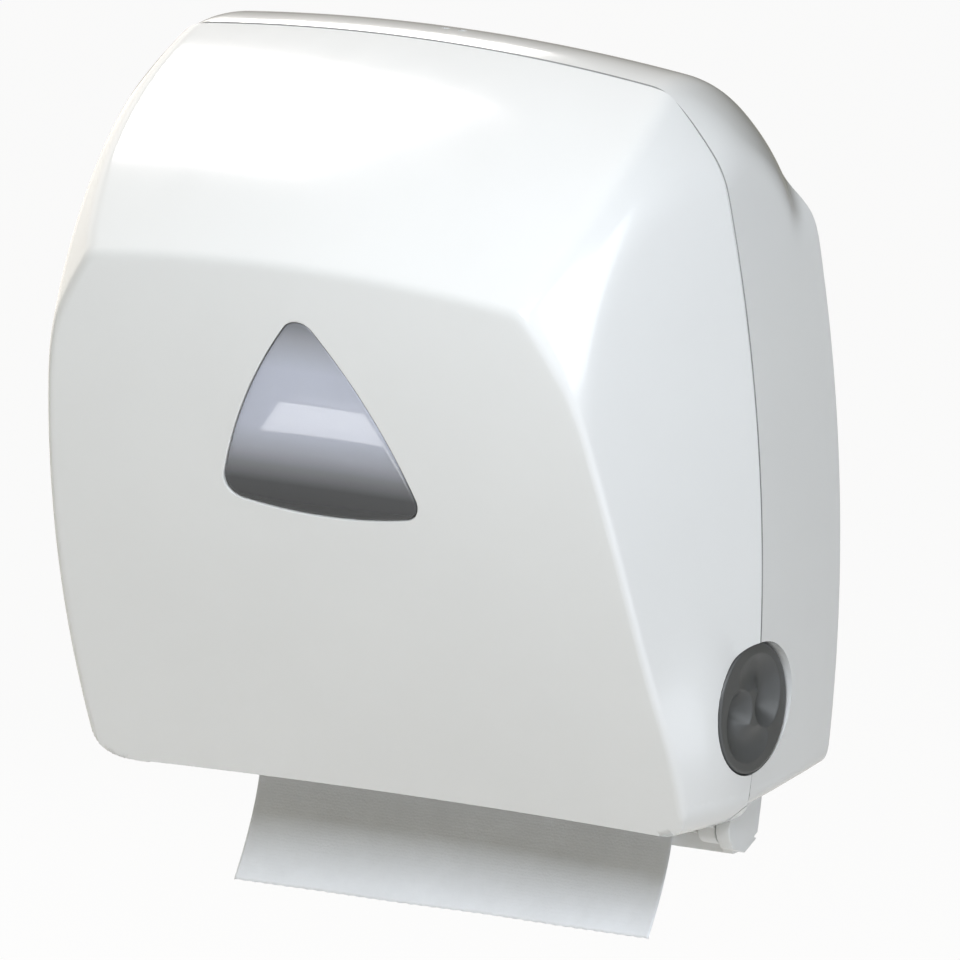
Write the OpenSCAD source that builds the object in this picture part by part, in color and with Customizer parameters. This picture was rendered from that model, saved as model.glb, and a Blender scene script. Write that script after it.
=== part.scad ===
// Wall-mounted autocut roll towel dispenser.
// Origin at the centre of the four wall holes, wall at Y = 0, front towards -Y, up +Z, in millimetres.

/* [Case] */
// Greatest width of the case
case_w = 321; // [312:1:332]
// Height of the case crown at the seam, above the mount centre
case_top = 157; // [155:1:162]
// Distance of the case bottom below the mount centre
case_drop = 164; // [162:1:168]
// Distance of the seam between cover and housing from the wall
seam_depth = 66; // [65:1:68]
// Distance of the horizontal crease from the wall
crease_depth = 173; // [171:1:182]
// Height of the horizontal crease above the mount centre
crease_z = 82; // [79:1:86]
// Distance of the cover's bottom edge from the wall
bottom_depth = 91; // [90:1:96]
// Outward bow of the upper face between crease and seam
upper_bow = 7; // [4:0.5:9]
// Outward bow of the leaning front face
front_bow = 8.5; // [6:0.5:11]
// Radius of the crown across the width
crown_r = 930; // [850:10:1100]
// Radius of the bowed sides, seen from the front
side_r = 780; // [700:10:900]
// Inward taper of the cover's sides towards the front, in degrees
side_taper = 15.5; // [13:0.5:17]
// Radius of the domed corner facets
facet_r = 220; // [216:1:224]
// Radius of the lower corners of the case
corner_r = 16; // [12:1:20]
// Radius that rolls the housing's top over to the wall
roll_over_r = 75; // [70:1:85]
// Wall thickness of the mouldings
wall = 3; // [2.5:0.25:3.5]
// Gap along the seam
seam_gap = 0.6; // [0.4:0.1:1]
// Rise of the housing's bottom towards the wall, in degrees
floor_tilt = 6; // [3:1:8]

/* [Window] */
// Height of the window above its lowest edge
window_h = 83; // [74:1:88]
// Width of the window
window_w = 89; // [80:1:98]
// Height of the window's middle above the mount centre
window_z = 12.5; // [8:0.5:18]
// Sideways offset of the window
window_x = -6.5; // [-10:0.5:0]
// Corner radius of the window
window_corner = 9; // [6:1:12]
// Outward bulge of the window's sides
window_bulge = 6; // [3:0.5:9]
// Width of the glued border of the lens
lens_border = 4; // [3:0.5:6]
// Thickness of the lens
lens_t = 2; // [1.5:0.25:2.5]

/* [Paper] */
// Width of the paper roll and web
paper_w = 200; // [190:1:204]
// Radius of the full roll
roll_r = 65; // [55:1:66]
// Outer radius of the cardboard core
core_r = 20; // [19:0.5:22]
// Wall of the cardboard core
core_wall = 1.5; // [1:0.25:2]
// Distance of the roll axis from the wall
roll_depth = 78; // [76:1:82]
// Height of the roll axis above the mount centre
roll_z = 42; // [40:1:44]
// Thickness of the web
web_t = 0.4; // [0.3:0.1:0.6]
// Forward drift of the hanging end
tail_forward = 22; // [10:1:26]
// Height of the hanging end's cut edge below the mount centre
tail_drop = 221; // [210:1:230]

/* [Drum] */
// Radius of the cutting drum
drum_r = 30; // [27:0.5:31]
// Height of the drum axis below the mount centre
drum_drop = 112; // [110:1:114]
// Wall of the drum shell
drum_wall = 3; // [2.5:0.25:3.5]
// Radius of the drum shaft
shaft_r = 5; // [4:0.25:6]
// Running clearance of shafts and pins, radial
run_gap = 0.05; // [0.03:0.01:0.09]
// Free gap between curved faces that move past each other
free_gap = 0.4; // [0.3:0.05:0.6]
// Length of the drum past each edge of the paper
drum_margin = 6; // [4:0.5:7]
// Swing of the knife out of the drum, in degrees
knife_swing = 45; // [35:1:50]
// Length of the knife from pivot to tooth tips
knife_len = 25; // [23:0.5:26]
// Spacing of the knife teeth
tooth_pitch = 5; // [4:0.5:8]
// Height of the knife teeth
tooth_h = 3; // [2:0.25:4]
// Width of a rubber grip band
band_w = 12; // [8:1:16]
// Radius of the knob
knob_r = 28; // [26:0.5:29.5]
// Radius of the pressure roller
press_r = 9; // [8:0.5:10]

/* [Chassis] */
// Gap between drum end and side plate
plate_gap = 12; // [11:0.5:13]
// Thickness of the side plates
plate_t = 3.5; // [3:0.25:4]
// Radius of the drum bushes
bush_r = 8; // [7:0.25:9]
// Swing-out radius of the roll arm knuckles
knuckle_r = 4.5; // [4:0.25:5]
// Thickness of the roll arms
arm_t = 3; // [2.5:0.25:3.5]
// Radius of the hinge pins of the cover
hinge_pin_r = 2.5; // [2:0.25:3]
// Distance of the cover hinge from the wall
hinge_depth = 60; // [58:1:62]
// Travel of the key latch
latch_travel = 4.5; // [4:0.25:5]

/* [Mount] */
// Spacing of the wall holes across
hole_pitch_x = 150; // [120:1:160]
// Spacing of the wall holes up and down
hole_pitch_z = 230; // [210:1:232]
// Radius of the wall holes
hole_r = 2.75; // [2:0.25:3.5]

/* [Hidden] */
$fn = 96;
big_fn = 720;
reach = 700;

case_half = case_w / 2;
side_mid_z = -50;
crown_axis_z = case_top - crown_r;
crown_sweep = 44;
seam_y = -seam_depth;
drum_y = seam_y;
drum_z = -drum_drop;
drum_half = paper_w / 2 + drum_margin;
plate_x = drum_half + plate_gap;
roll_y = -roll_depth;
hinge_y = -hinge_depth;
hinge_z = -case_drop - 3;
hinge_clear_r = 14;

// Colours
white = [0.93, 0.94, 0.94];
dark_grey = [0.32, 0.33, 0.33];
smoke = [0.55, 0.57, 0.6, 0.6];
natural = [0.85, 0.86, 0.84];
steel = [0.7, 0.72, 0.74];
rubber = [0.16, 0.16, 0.17];
paper = [0.93, 0.94, 0.96];
card = [0.66, 0.52, 0.38];

// Centre of the circle through a and b that bows out by sag to the right of a to b
function arc_r(a, b, sag) = (pow(norm(b - a) / 2, 2) + sag * sag) / (2 * sag);
function right_of(a, b) = let (u = (b - a) / norm(b - a)) [u[1], -u[0]];
function arc_centre(a, b, sag) = (a + b) / 2 - right_of(a, b) * (arc_r(a, b, sag) - sag);
function polar(c, r, a) = c + r * [cos(a), sin(a)];

crease = [-crease_depth, crease_z];
seam_top = [seam_y, case_top];
front_foot = [-bottom_depth, -case_drop];
upper_r = arc_r(seam_top, crease, upper_bow);
upper_c = arc_centre(seam_top, crease, upper_bow);
front_r = arc_r(crease, front_foot, front_bow);
front_c = arc_centre(crease, front_foot, front_bow);

// Case forms: a side profile swept round the crown, trimmed by bowed sides and domed corner facets
crest_y = seam_y + 10;
crest_z = case_top + 1;
facet_mid = [case_half - 36.25, seam_y - 49.25, case_top - 62.15];
facet_n = [0.765, -0.4375, 0.472] / norm([0.765, -0.4375, 0.472]);
facet_rise = 10.4;
facet_c = facet_mid - facet_n * (facet_r - facet_rise);
shoulder_r = 103;
shoulder_c = [case_half - 102.5, seam_y + 5.5, case_top - 93.9];
rim_r = 40.5;
rim_c = [case_half - 47, case_top - 93.5];
rim_t = 32;
below = 60;
floor_step = 5;

function swept(p) = [p[1] - crown_axis_z, p[0]];

module crown_sweep_of() {
    translate([0, 0, crown_axis_z])
        rotate([-90, 0, 0])
            rotate([0, 0, -90 - crown_sweep / 2])
                rotate_extrude(angle = crown_sweep, $fn = big_fn)
                    children();
}

module span_yz(y0, y1, z0, z1) {
    translate(swept([y0, z0]))
        square([z1 - z0, y1 - y0]);
}

module cover_profile(inset) {
    intersection() {
        translate(swept(upper_c)) circle(r = upper_r - inset, $fn = big_fn);
        translate(swept(front_c)) circle(r = front_r - inset, $fn = big_fn);
        span_yz(-crease_depth - 30, seam_y + 20, -case_drop - below, case_top + 30);
    }
}

module housing_profile(inset) {
    roll_c = [crest_y, crest_z - roll_over_r];
    intersection() {
        union() {
            translate(swept(roll_c)) circle(r = roll_over_r - inset, $fn = 360);
            span_yz(seam_y - 40, 20, -case_drop - below, roll_c[1]);
        }
        span_yz(seam_y - 40, -inset, -case_drop - below, case_top + 30);
    }
}

module side_frame(taper) {
    translate([case_half, seam_y, side_mid_z])
        rotate([0, 0, -taper])
            children();
}

module side_bow(inset, taper) {
    side_frame(taper)
        translate([-side_r, 0, 0])
            rotate([90, 0, 0])
                cylinder(r = side_r - inset, h = reach, center = true, $fn = big_fn);
}

module facet(inset) {
    translate(facet_c) sphere(r = facet_r - inset, $fn = 360);
    slab(-reach, reach, -reach, reach, -reach, facet_c[2]);
}

// Rear shoulder: a dome that falls away to the wall, met there by a rounded rim
module shoulder(inset) {
    translate(shoulder_c) sphere(r = shoulder_r - inset, $fn = 360);
    slab(-reach, shoulder_c[0], -reach, reach, -reach, reach);
    slab(-reach, reach, -reach, reach, -reach, shoulder_c[2]);
    translate([rim_c[0], 20, rim_c[1]])
        rotate([90, 0, 0])
            cylinder(r = rim_r - inset, h = rim_t + 20, $fn = 180);
}

module corner_trim(inset, taper) {
    drop = corner_r - case_drop - side_mid_z;
    across = sqrt(pow(side_r - corner_r, 2) - drop * drop) - side_r;
    side_frame(taper)
        rotate([90, 0, 0])
            linear_extrude(reach, center = true)
                difference() {
                    translate([across, drop - 100]) square(100);
                    translate([across, drop]) circle(r = corner_r - inset);
                }
}

module both_sides() {
    children();
    mirror([1, 0, 0]) children();
}

module trimmed(inset, taper) {
    difference() {
        intersection() {
            children();
            side_bow(inset, taper);
            mirror([1, 0, 0]) side_bow(inset, taper);
            facet(inset);
            mirror([1, 0, 0]) facet(inset);
        }
        both_sides() corner_trim(inset, taper);
    }
}

module slab(x0, x1, y0, y1, z0, z1) {
    translate([x0, y0, z0])
        cube([x1 - x0, y1 - y0, z1 - z0]);
}

module along_x(x0, x1, r, y, z) {
    translate([x0, y, z])
        rotate([0, 90, 0])
            cylinder(r = r, h = x1 - x0);
}

// Extrudes an outline drawn in Y and Z from x0 to x1
module plate_yz(x0, x1) {
    translate([x0, 0, 0])
        rotate([90, 0, 90])
            linear_extrude(x1 - x0)
                children();
}

module cover_form(inset, back_y, floor_z) {
    intersection() {
        trimmed(inset, side_taper) crown_sweep_of() cover_profile(inset);
        slab(-reach / 2, reach / 2, -reach, back_y, floor_z, reach);
    }
}

module housing_form(inset, front_y) {
    intersection() {
        trimmed(inset, 0) crown_sweep_of() housing_profile(inset);
        slab(-reach / 2, reach / 2, front_y, reach, -reach, reach);
        shoulder(inset);
        mirror([1, 0, 0]) shoulder(inset);
        translate([0, seam_y, floor_step - case_drop])
            rotate([floor_tilt, 0, 0])
                translate([-reach / 2, -reach / 2, inset])
                    cube(reach);
    }
}

module cover_shell() {
    difference() {
        cover_form(0, seam_y - seam_gap / 2, -case_drop);
        cover_form(wall, seam_y + 10, -case_drop - below / 2);
    }
}

module knob_hole() {
    along_x(knob_back - knob_gap, case_half + wall, knob_r + knob_gap, drum_y, drum_z);
}

// Window outline: three bowed sides with rounded corners, apex up, X across and Y up
window_lean = 15;

module window_outline(grow) {
    half_w = window_w / 2 + window_corner / 2;
    top = [0, window_h / 2 + window_corner];
    left = [-half_w, -window_h / 2];
    right = [half_w, -window_h / 2];
    corners = [top, left, right];
    offset(r = window_corner + grow)
        offset(delta = -window_corner)
            intersection_for (i = [0:2]) {
                from = corners[i];
                to = corners[(i + 1) % 3];
                translate(arc_centre(from, to, window_bulge)) circle(r = arc_r(from, to, window_bulge));
            }
}

function front_y(z) = front_c[0] - sqrt(front_r * front_r - pow(z - front_c[1], 2));

module window_prism(grow) {
    translate([window_x, front_y(window_z), window_z])
        rotate([90 + window_lean, 0, 0])
            linear_extrude(40, center = true)
                window_outline(grow);
}

// Cover hinge: ears on the housing outside, tabs on the cover inside
ear_t = 6;
ear_x = case_half - 21.5;
tab_t = 8.5;
tab_x = ear_x - 2 * free_gap;
boss_r = hinge_pin_r + 5;

module hinge_tab() {
    arm_top = -case_drop + 16;
    anchor_y = seam_y - 18;
    plate_yz(tab_x - tab_t, tab_x) {
        translate([hinge_y, hinge_z]) circle(r = boss_r);
        polygon([
            [hinge_y + 2, hinge_z + boss_r - 1], [hinge_y - boss_r, hinge_z - 1],
            [anchor_y, 3 - case_drop], [anchor_y, arm_top], [anchor_y + 8, arm_top]
        ]);
    }
    intersection() {
        cover_form(1, seam_y - 2, -case_drop);
        slab(tab_x - tab_t, case_half, anchor_y - 4, anchor_y + 8, 4 - case_drop, arm_top);
    }
}

module hinge_ear() {
    plate_yz(ear_x, ear_x + ear_t) {
        translate([hinge_y, hinge_z]) circle(r = boss_r + 0.5);
        polygon([
            [hinge_y - 6, hinge_z + 3], [hinge_y - 4.5, hinge_z - 8], [hinge_y + 5, hinge_z - 11.5],
            [hinge_y + 15.5, hinge_z - 6], [hinge_y + 20, floor_step + 3 - case_drop],
            [hinge_y + 30, floor_step + 4.5 - case_drop], [hinge_y - 5, floor_step + 2 - case_drop]
        ]);
    }
    intersection() {
        difference() {
            cover_form(0, seam_y + 1, -case_drop);
            cover_form(wall, seam_y + 10, -case_drop - below / 2);
        }
        along_x(ear_x, case_half, hinge_clear_r - seam_gap, hinge_y, hinge_z);
    }
}

module hinge_bore(r) {
    both_sides() along_x(tab_x - tab_t - 5, case_half - 4, r, hinge_y, hinge_z);
}

// Latch: a barbed catch on the cover and a sprung tongue in front of the barb
catch_w = 18;
catch_z = case_top - 9;
catch_t = 2.5;
barb_h = 4;
barb_y = seam_y + 12.5;
tongue_t = 3.5;
tongue_y = barb_y - free_gap;
tongue_top = catch_z - 0.6;
stem_r = 3;
stem_y = seam_y + 16;
bridge_z = case_top - 25;
bridge_t = 6;
shelf_z = case_top - 45;
shelf_t = 3;
key_y = seam_y + 18;
key_x = 4;
key_w = 3;
bridge_half = 7;
bridge_back = 6;

module cover_catch() {
    slab(-catch_w / 2, catch_w / 2, seam_y - 13, barb_y + wall, catch_z, catch_z + catch_t);
    slab(-catch_w / 2, catch_w / 2, barb_y, barb_y + wall, catch_z - barb_h, catch_z);
}

module front_cover() {
    color(white)
        difference() {
            union() {
                difference() {
                    cover_shell();
                    window_prism(0);
                    knob_hole();
                    both_sides() along_x(tab_x, case_half + 9, hinge_clear_r, hinge_y, hinge_z);
                }
                both_sides() hinge_tab();
                cover_catch();
            }
            hinge_bore(hinge_pin_r + run_gap);
        }
}

// Lens: a glued border behind the cover and a plug that fills the window almost flush
lens_sink = 0.5;
lens_gap = 0.3;

module lens_layer(from, to, grow) {
    intersection() {
        difference() {
            cover_form(from, seam_y - 20, -case_drop);
            cover_form(to, seam_y, -case_drop - below / 2);
        }
        window_prism(grow);
    }
}

module window_lens() {
    color(smoke) {
        lens_layer(wall, wall + lens_t, lens_border);
        lens_layer(lens_sink, wall + lens_t / 2, -lens_gap);
    }
}

// Roll arms and their knuckles on the back plate
arm_gap = 3;
arm_x = paper_w / 2 + arm_gap;
knuckle_x = arm_x + arm_t / 2;
knuckle_y = -wall - free_gap - knuckle_r;
knuckle_h = 36;
lug_h = 6;
lug_w = 10;
arm_pin_r = 1.5;
exit_half = plate_x + plate_t + 5.5;
exit_back = 24;

module arm_lugs() {
    for (up = [-1, 1])
        translate([knuckle_x, 0, roll_z + up * (knuckle_h / 2 + free_gap + lug_h / 2)])
            slab(-lug_w / 2, lug_w / 2, knuckle_y - 4, -wall + 0.5, -lug_h / 2, lug_h / 2);
}

// Cup round the rear half of the knob
collar_t = 2;

module knob_collar() {
    intersection() {
        housing_form(1, seam_y + seam_gap / 2);
        along_x(knob_back, case_half, knob_r + knob_gap + collar_t, drum_y, drum_z);
    }
}

module rear_housing() {
    color(white)
        difference() {
            union() {
                difference() {
                    housing_form(0, seam_y + seam_gap / 2);
                    housing_form(wall, seam_y - 10);
                    slab(-exit_half, exit_half, seam_y - 30, -exit_back, -case_drop - 30, 30 - case_drop);
                    both_sides()
                        slab(
                            exit_half - 1, tab_x + free_gap, seam_y - 10, hinge_y + 4,
                            -case_drop - 10, 20 - case_drop
                        );
                }
                both_sides() hinge_ear();
                both_sides() arm_lugs();
                knob_collar();
                slab(-16, 16, stem_y - 8, 0.5 - wall, shelf_z, shelf_z + shelf_t);
            }
            knob_hole();
            hinge_bore(hinge_pin_r);
            for (x = [-1, 1], z = [-1, 1])
                translate([x * hole_pitch_x / 2, 5, z * hole_pitch_z / 2])
                    rotate([90, 0, 0])
                        cylinder(r = hole_r, h = 20);
            both_sides()
                translate([key_x, key_y, catch_z + 3])
                    slab(-key_w / 2, key_w / 2, 0, key_w, 0, 30);
            translate([0, stem_y, shelf_z - 5]) cylinder(r = stem_r + free_gap, h = 20);
            both_sides()
                translate([knuckle_x, knuckle_y, roll_z]) cylinder(r = arm_pin_r, h = 80, center = true);
        }
}

module latch_tongue() {
    color(natural) {
        slab(-catch_w / 2, catch_w / 2, tongue_y - tongue_t, tongue_y, bridge_z, tongue_top);
        slab(-bridge_half, bridge_half, tongue_y - 0.5, key_y + bridge_back, bridge_z, bridge_z + bridge_t);
        slab(
            -bridge_half, bridge_half, barb_y + wall + 1, key_y + bridge_back,
            bridge_z, bridge_z + 1.5 * bridge_t
        );
        translate([0, stem_y, shelf_z - 4]) cylinder(r = stem_r, h = bridge_z - shelf_z + 5);
    }
}

// A round wire swept along points, each with the direction in which its section starts
module wire_sweep(points, outs, wire) {
    sides = 6;
    rings = len(points) - 1;
    skin_points = [
        for (i = [0:rings])
            let (
                way = points[min(i + 1, rings)] - points[max(i - 1, 0)],
                along = way / norm(way),
                flat = outs[i] - (outs[i] * along) * along,
                out = flat / norm(flat),
                side = cross(along, out)
            )
                for (k = [0:sides - 1])
                    points[i] + wire * (cos(k * 360 / sides) * out + sin(k * 360 / sides) * side)
    ];
    skin = [
        for (i = [0:rings - 1], k = [0:sides - 1])
            let (n = (k + 1) % sides, p = i * sides, q = p + sides)
                each [[p + k, q + k, p + n], [p + n, q + k, q + n]]
    ];
    first = [for (k = [1:sides - 2]) [0, k, k + 1]];
    last = [for (k = [1:sides - 2]) [rings * sides, rings * sides + k + 1, rings * sides + k]];
    polyhedron(skin_points, concat(skin, first, last));
}

coil_steps = 12;

function coil_outs(e1, e2, turns) =
    [for (i = [0:turns * coil_steps]) cos(i * 360 / coil_steps) * e1 + sin(i * 360 / coil_steps) * e2];
function coil_points(a, b, r, outs) =
    [for (i = [0:len(outs) - 1]) a + (b - a) * i / (len(outs) - 1) + r * outs[i]];

module latch_spring() {
    wire = 0.6;
    outs = coil_outs([1, 0, 0], [0, 1, 0], 5);
    foot = [0, stem_y, shelf_z + shelf_t + wire];
    head = [0, stem_y, bridge_z - wire];
    color(steel)
        wire_sweep(coil_points(foot, head, stem_r + 1.6, outs), outs, wire);
}

module hinge_pins() {
    color(steel)
        both_sides()
            along_x(tab_x - tab_t - 1, ear_x + ear_t, hinge_pin_r, hinge_y, hinge_z);
}

// Chassis: two side plates on the back plate carry drum, pressure arm and cam ring
plate_disc_r = drum_r + 7;
plate_rise = 74;
foot_rise = 18;
plate_foot = case_drop - drum_drop - foot_rise;
flange_w = 14;
flange_t = 3;
screw_r = 2;
screw_head_r = 3.8;
press_set = 4;
press_rise = 60;
press_pivot = [drum_y + press_set, drum_z + press_rise];
press_pin_r = 3;
nip_angle = 120;
web_r = drum_r + 0.4 + free_gap;
press_c = polar([drum_y, drum_z], web_r + web_t + free_gap + press_r, nip_angle);
post = [drum_y + 20, drum_z + plate_rise - 8];
post_r = 3;

module plate_outline() {
    translate([drum_y, drum_z]) circle(r = plate_disc_r);
    polygon([
        [-wall, drum_z - plate_foot], [drum_y, drum_z - plate_foot],
        [drum_y - 28, drum_z], [press_pivot[0] - 14, press_pivot[1] + 8],
        [press_pivot[0] - 8, drum_z + plate_rise], [-wall, drum_z + plate_rise]
    ]);
}

module side_plate() {
    plate_yz(plate_x, plate_x + plate_t)
        difference() {
            plate_outline();
            translate([drum_y, drum_z]) circle(r = bush_r);
            translate(press_pivot) circle(r = press_pin_r + run_gap);
        }
    difference() {
        slab(
            plate_x, plate_x + flange_w, -wall - flange_t, -wall,
            drum_z - plate_foot, drum_z + plate_rise
        );
        screw_places() rotate([90, 0, 0]) cylinder(r = screw_r, h = 30, center = true);
    }
}

module screw_places() {
    for (z = [drum_z - plate_foot + 12, drum_z + plate_rise - 12])
        translate([plate_x + plate_t + (flange_w - plate_t) / 2, -wall - flange_t, z])
            children();
}

module chassis_right() {
    color(natural) side_plate();
}

module chassis_left() {
    color(natural)
        difference() {
            mirror([1, 0, 0]) side_plate();
            along_x(-plate_x - 20, -plate_x + 5, post_r, post[0], post[1]);
        }
}

module chassis_screws() {
    color(steel)
        both_sides()
            screw_places()
                rotate([90, 0, 0]) {
                    cylinder(r1 = screw_head_r, r2 = screw_head_r - 1, h = 2.2);
                    translate([0, 0, -flange_t]) cylinder(r = screw_r, h = flange_t + 1);
                }
}

bush_end = 1.5;
bush_lip = 3;

module bush() {
    difference() {
        union() {
            along_x(plate_x, plate_x + plate_t + bush_end, bush_r, drum_y, drum_z);
            along_x(plate_x - bush_end, plate_x, bush_r + bush_lip, drum_y, drum_z);
        }
        along_x(plate_x - 5, plate_x + plate_t + 5, shaft_r + run_gap, drum_y, drum_z);
    }
}

module drum_bush_left() {
    color(dark_grey) mirror([1, 0, 0]) bush();
}

module drum_bush_right() {
    color(dark_grey) bush();
}

// Drum with an end cap each side, a knife slot below and rubber grip bands
cap_t = 5;
slot_front = -8;
slot_back = 19;
slot_half = paper_w / 2;
bands = 5;
band_rise = 0.4;
band_depth = 1;

module drum_slot() {
    slab(
        -slot_half, slot_half, drum_y + slot_front, drum_y + slot_back,
        drum_z - drum_r - 5, drum_z - drum_r / 2
    );
}

module band_rings(r_out) {
    pitch = paper_w / bands;
    for (i = [0:bands - 1])
        let (x = (i - (bands - 1) / 2) * pitch)
            difference() {
                along_x(x - band_w / 2, x + band_w / 2, r_out, drum_y, drum_z);
                along_x(x - band_w, x + band_w, drum_r - band_depth, drum_y, drum_z);
            }
}

module drum_shell() {
    color(natural)
        difference() {
            along_x(-drum_half, drum_half, drum_r, drum_y, drum_z);
            along_x(-drum_half - 1, drum_half + 1, drum_r - drum_wall, drum_y, drum_z);
            drum_slot();
            band_rings(drum_r + 2);
        }
}

module grip_bands() {
    color(rubber)
        difference() {
            band_rings(drum_r + band_rise);
            drum_slot();
        }
}

// Knife: carrier and toothed blade swing about a pivot inside the drum
knife_pivot = [drum_y + 13, drum_z - 8];
knife_rest = 222;
knife_pin_r = 2.5;
blade_t = 0.8;
carrier_half = slot_half - 0.5;
carrier_len = 18;
carrier_up = 2.5;
carrier_down = 3;
follower_lead = 18;
follower_arm = 14;
follower_r = 3.5;
lever_t = 4;
lever_x = drum_half + 1.5;

function knife_pt(along, across) =
    knife_pivot + along * [cos(knife_rest), sin(knife_rest)]
        + across * [-sin(knife_rest), cos(knife_rest)];
function follower_at(swing) = polar(knife_pivot, follower_arm, knife_rest + follower_lead + swing);

module drum_cap() {
    from = drum_half - 2 * cap_t;
    to = drum_half + 1;
    difference() {
        along_x(drum_half - cap_t, drum_half, drum_r - drum_wall, drum_y, drum_z);
        along_x(from, to, shaft_r, drum_y, drum_z);
        along_x(from, to, knife_pin_r + run_gap, knife_pivot[0], knife_pivot[1]);
    }
}

module drum_cap_left() {
    color(natural) mirror([1, 0, 0]) drum_cap();
}

module drum_cap_right() {
    color(natural) drum_cap();
}

module knife_carrier() {
    color(dark_grey)
        difference() {
            plate_yz(-carrier_half, carrier_half)
                union() {
                    translate(knife_pivot) circle(r = knife_pin_r + 1.8);
                    polygon([
                        knife_pt(0, -carrier_down - 0.8), knife_pt(carrier_len, -carrier_down + 1.5),
                        knife_pt(carrier_len, carrier_up), knife_pt(0, carrier_up)
                    ]);
                }
            along_x(-carrier_half - 1, -carrier_half + 12, knife_pin_r, knife_pivot[0], knife_pivot[1]);
            along_x(carrier_half - 12, carrier_half + 1, knife_pin_r, knife_pivot[0], knife_pivot[1]);
        }
}

// Blade drawn flat, X along the drum and Y from the pivot to the tooth tips
module blade_outline() {
    count = floor(2 * (carrier_half - 3) / tooth_pitch);
    start = -count * tooth_pitch / 2;
    root = knife_len - tooth_h;
    polygon(concat(
        [[start, 7], [start, root]],
        [
            for (i = [0:count - 1])
                each [
                    [start + (i + 0.5) * tooth_pitch, knife_len],
                    [start + (i + 1) * tooth_pitch, root]
                ]
        ],
        [[-start, 7]]
    ));
}

module knife_blade() {
    color(steel)
        translate([0, knife_pivot[0], knife_pivot[1]])
            rotate([knife_rest, 0, 0])
                translate([0, 0, carrier_up])
                    linear_extrude(blade_t)
                        blade_outline();
}

module knife_pins() {
    color(steel) {
        along_x(-lever_x - lever_t, 12 - carrier_half, knife_pin_r, knife_pivot[0], knife_pivot[1]);
        along_x(carrier_half - 12, drum_half, knife_pin_r, knife_pivot[0], knife_pivot[1]);
    }
}

module knife_follower() {
    f = follower_at(0);
    way = knife_rest + follower_lead;
    color(dark_grey)
        difference() {
            union() {
                plate_yz(-lever_x - lever_t, -lever_x) {
                    translate(knife_pivot) circle(r = knife_pin_r + 2);
                    translate(f) circle(r = follower_r);
                    polygon([
                        polar(knife_pivot, 3.5, way + 90), polar(knife_pivot, 3.5, way - 90),
                        polar(f, 3, way - 90), polar(f, 3, way + 90)
                    ]);
                }
                along_x(-plate_x + 0.6, -lever_x - lever_t + 0.5, follower_r, f[0], f[1]);
            }
            along_x(-plate_x, -lever_x + 1, knife_pin_r, knife_pivot[0], knife_pivot[1]);
        }
}

// Cam ring: a round track that holds the knife in, with a pocket that lets it out below the drum
pocket_back = 8;
pocket_on = 45;

module cam_pocket() {
    axis = [drum_y, drum_z];
    out = follower_at(knife_swing) - axis;
    pocket_r = norm(out) + follower_r + 2 * free_gap;
    side = asin((follower_r + 2 * free_gap) / norm(out));
    to = atan2(out[1], out[0]) + pocket_back + side;
    from = atan2(out[1], out[0]) - pocket_on - side;
    intersection() {
        translate(axis) circle(r = pocket_r);
        polygon([
            axis, polar(axis, 2 * pocket_r, from),
            polar(axis, 2 * pocket_r, (from + to) / 2), polar(axis, 2 * pocket_r, to)
        ]);
    }
}

module cam_ring() {
    ring_t = plate_gap - lever_t - 2.2;
    track_r = norm(follower_at(0) - [drum_y, drum_z]) + follower_r + free_gap;
    color(natural)
        difference() {
            along_x(-plate_x, ring_t - plate_x, plate_disc_r - 2, drum_y, drum_z);
            along_x(-plate_x - 1, ring_t - plate_x + 1, track_r, drum_y, drum_z);
            plate_yz(-plate_x - 1, ring_t - plate_x + 1) cam_pocket();
        }
}

// Shaft with knob at the right and crank at the left
knob_t = 13;
knob_sink = 5.5;
knob_face = case_half - knob_sink;
knob_back = knob_face - knob_t;
knob_gap = 1;
knob_grip = 3;
knob_edge = 1.2;
hub_gap = 3;
hub_wall = 4;
knob_hub = min(plate_x + plate_t + bush_end + hub_gap, knob_back - 0.5);
crank_gap = 3.5;
crank_t = 4;
crank_x = plate_x + plate_t + crank_gap;
crank_arm = 17;
crank_pin_len = 14;
crank_w = 10;

module drum_shaft() {
    color(steel)
        along_x(-crank_x - crank_t, knob_back + knob_grip, shaft_r, drum_y, drum_z);
}

module drum_crank() {
    pin_z = drum_z + crank_arm;
    color(dark_grey)
        difference() {
            union() {
                plate_yz(-crank_x - crank_t, -crank_x) {
                    translate([drum_y, drum_z]) circle(r = shaft_r + hub_wall);
                    translate([drum_y, pin_z]) circle(r = post_r + 2);
                    translate([drum_y - crank_w / 2, drum_z]) square([crank_w, crank_arm]);
                }
                along_x(-crank_x - crank_pin_len, -crank_x, post_r, drum_y, pin_z);
            }
            along_x(-crank_x - crank_t - 1, -crank_x + 1, shaft_r, drum_y, drum_z);
        }
}

module spring_post() {
    color(steel)
        along_x(-crank_x - crank_pin_len, -plate_x, post_r, post[0], post[1]);
}

module assist_spring() {
    wire = 0.7;
    coil_r = 4;
    eye_r = (post_r + wire) / cos(10) + 0.02;
    x = -crank_x - crank_t - 5.2;
    pin = [x, drum_y, drum_z + crank_arm];
    far = [x, post[0], post[1]];
    way = (far - pin) / norm(far - pin);
    across = cross(way, [1, 0, 0]);
    eye = [for (a = [40:20:320]) cos(a) * way + sin(a) * across];
    turns = coil_outs(-across, [1, 0, 0], 14);
    far_eye = [for (a = [140:-20:-140]) cos(a) * way + sin(a) * across];
    body = coil_points(pin + way * (eye_r + 2), far - way * (eye_r + 2), coil_r, turns);
    outs = concat(eye, turns, far_eye);
    points = concat([for (e = eye) pin + eye_r * e], body, [for (e = far_eye) far + eye_r * e]);
    color(steel) wire_sweep(points, outs, wire);
}

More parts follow.
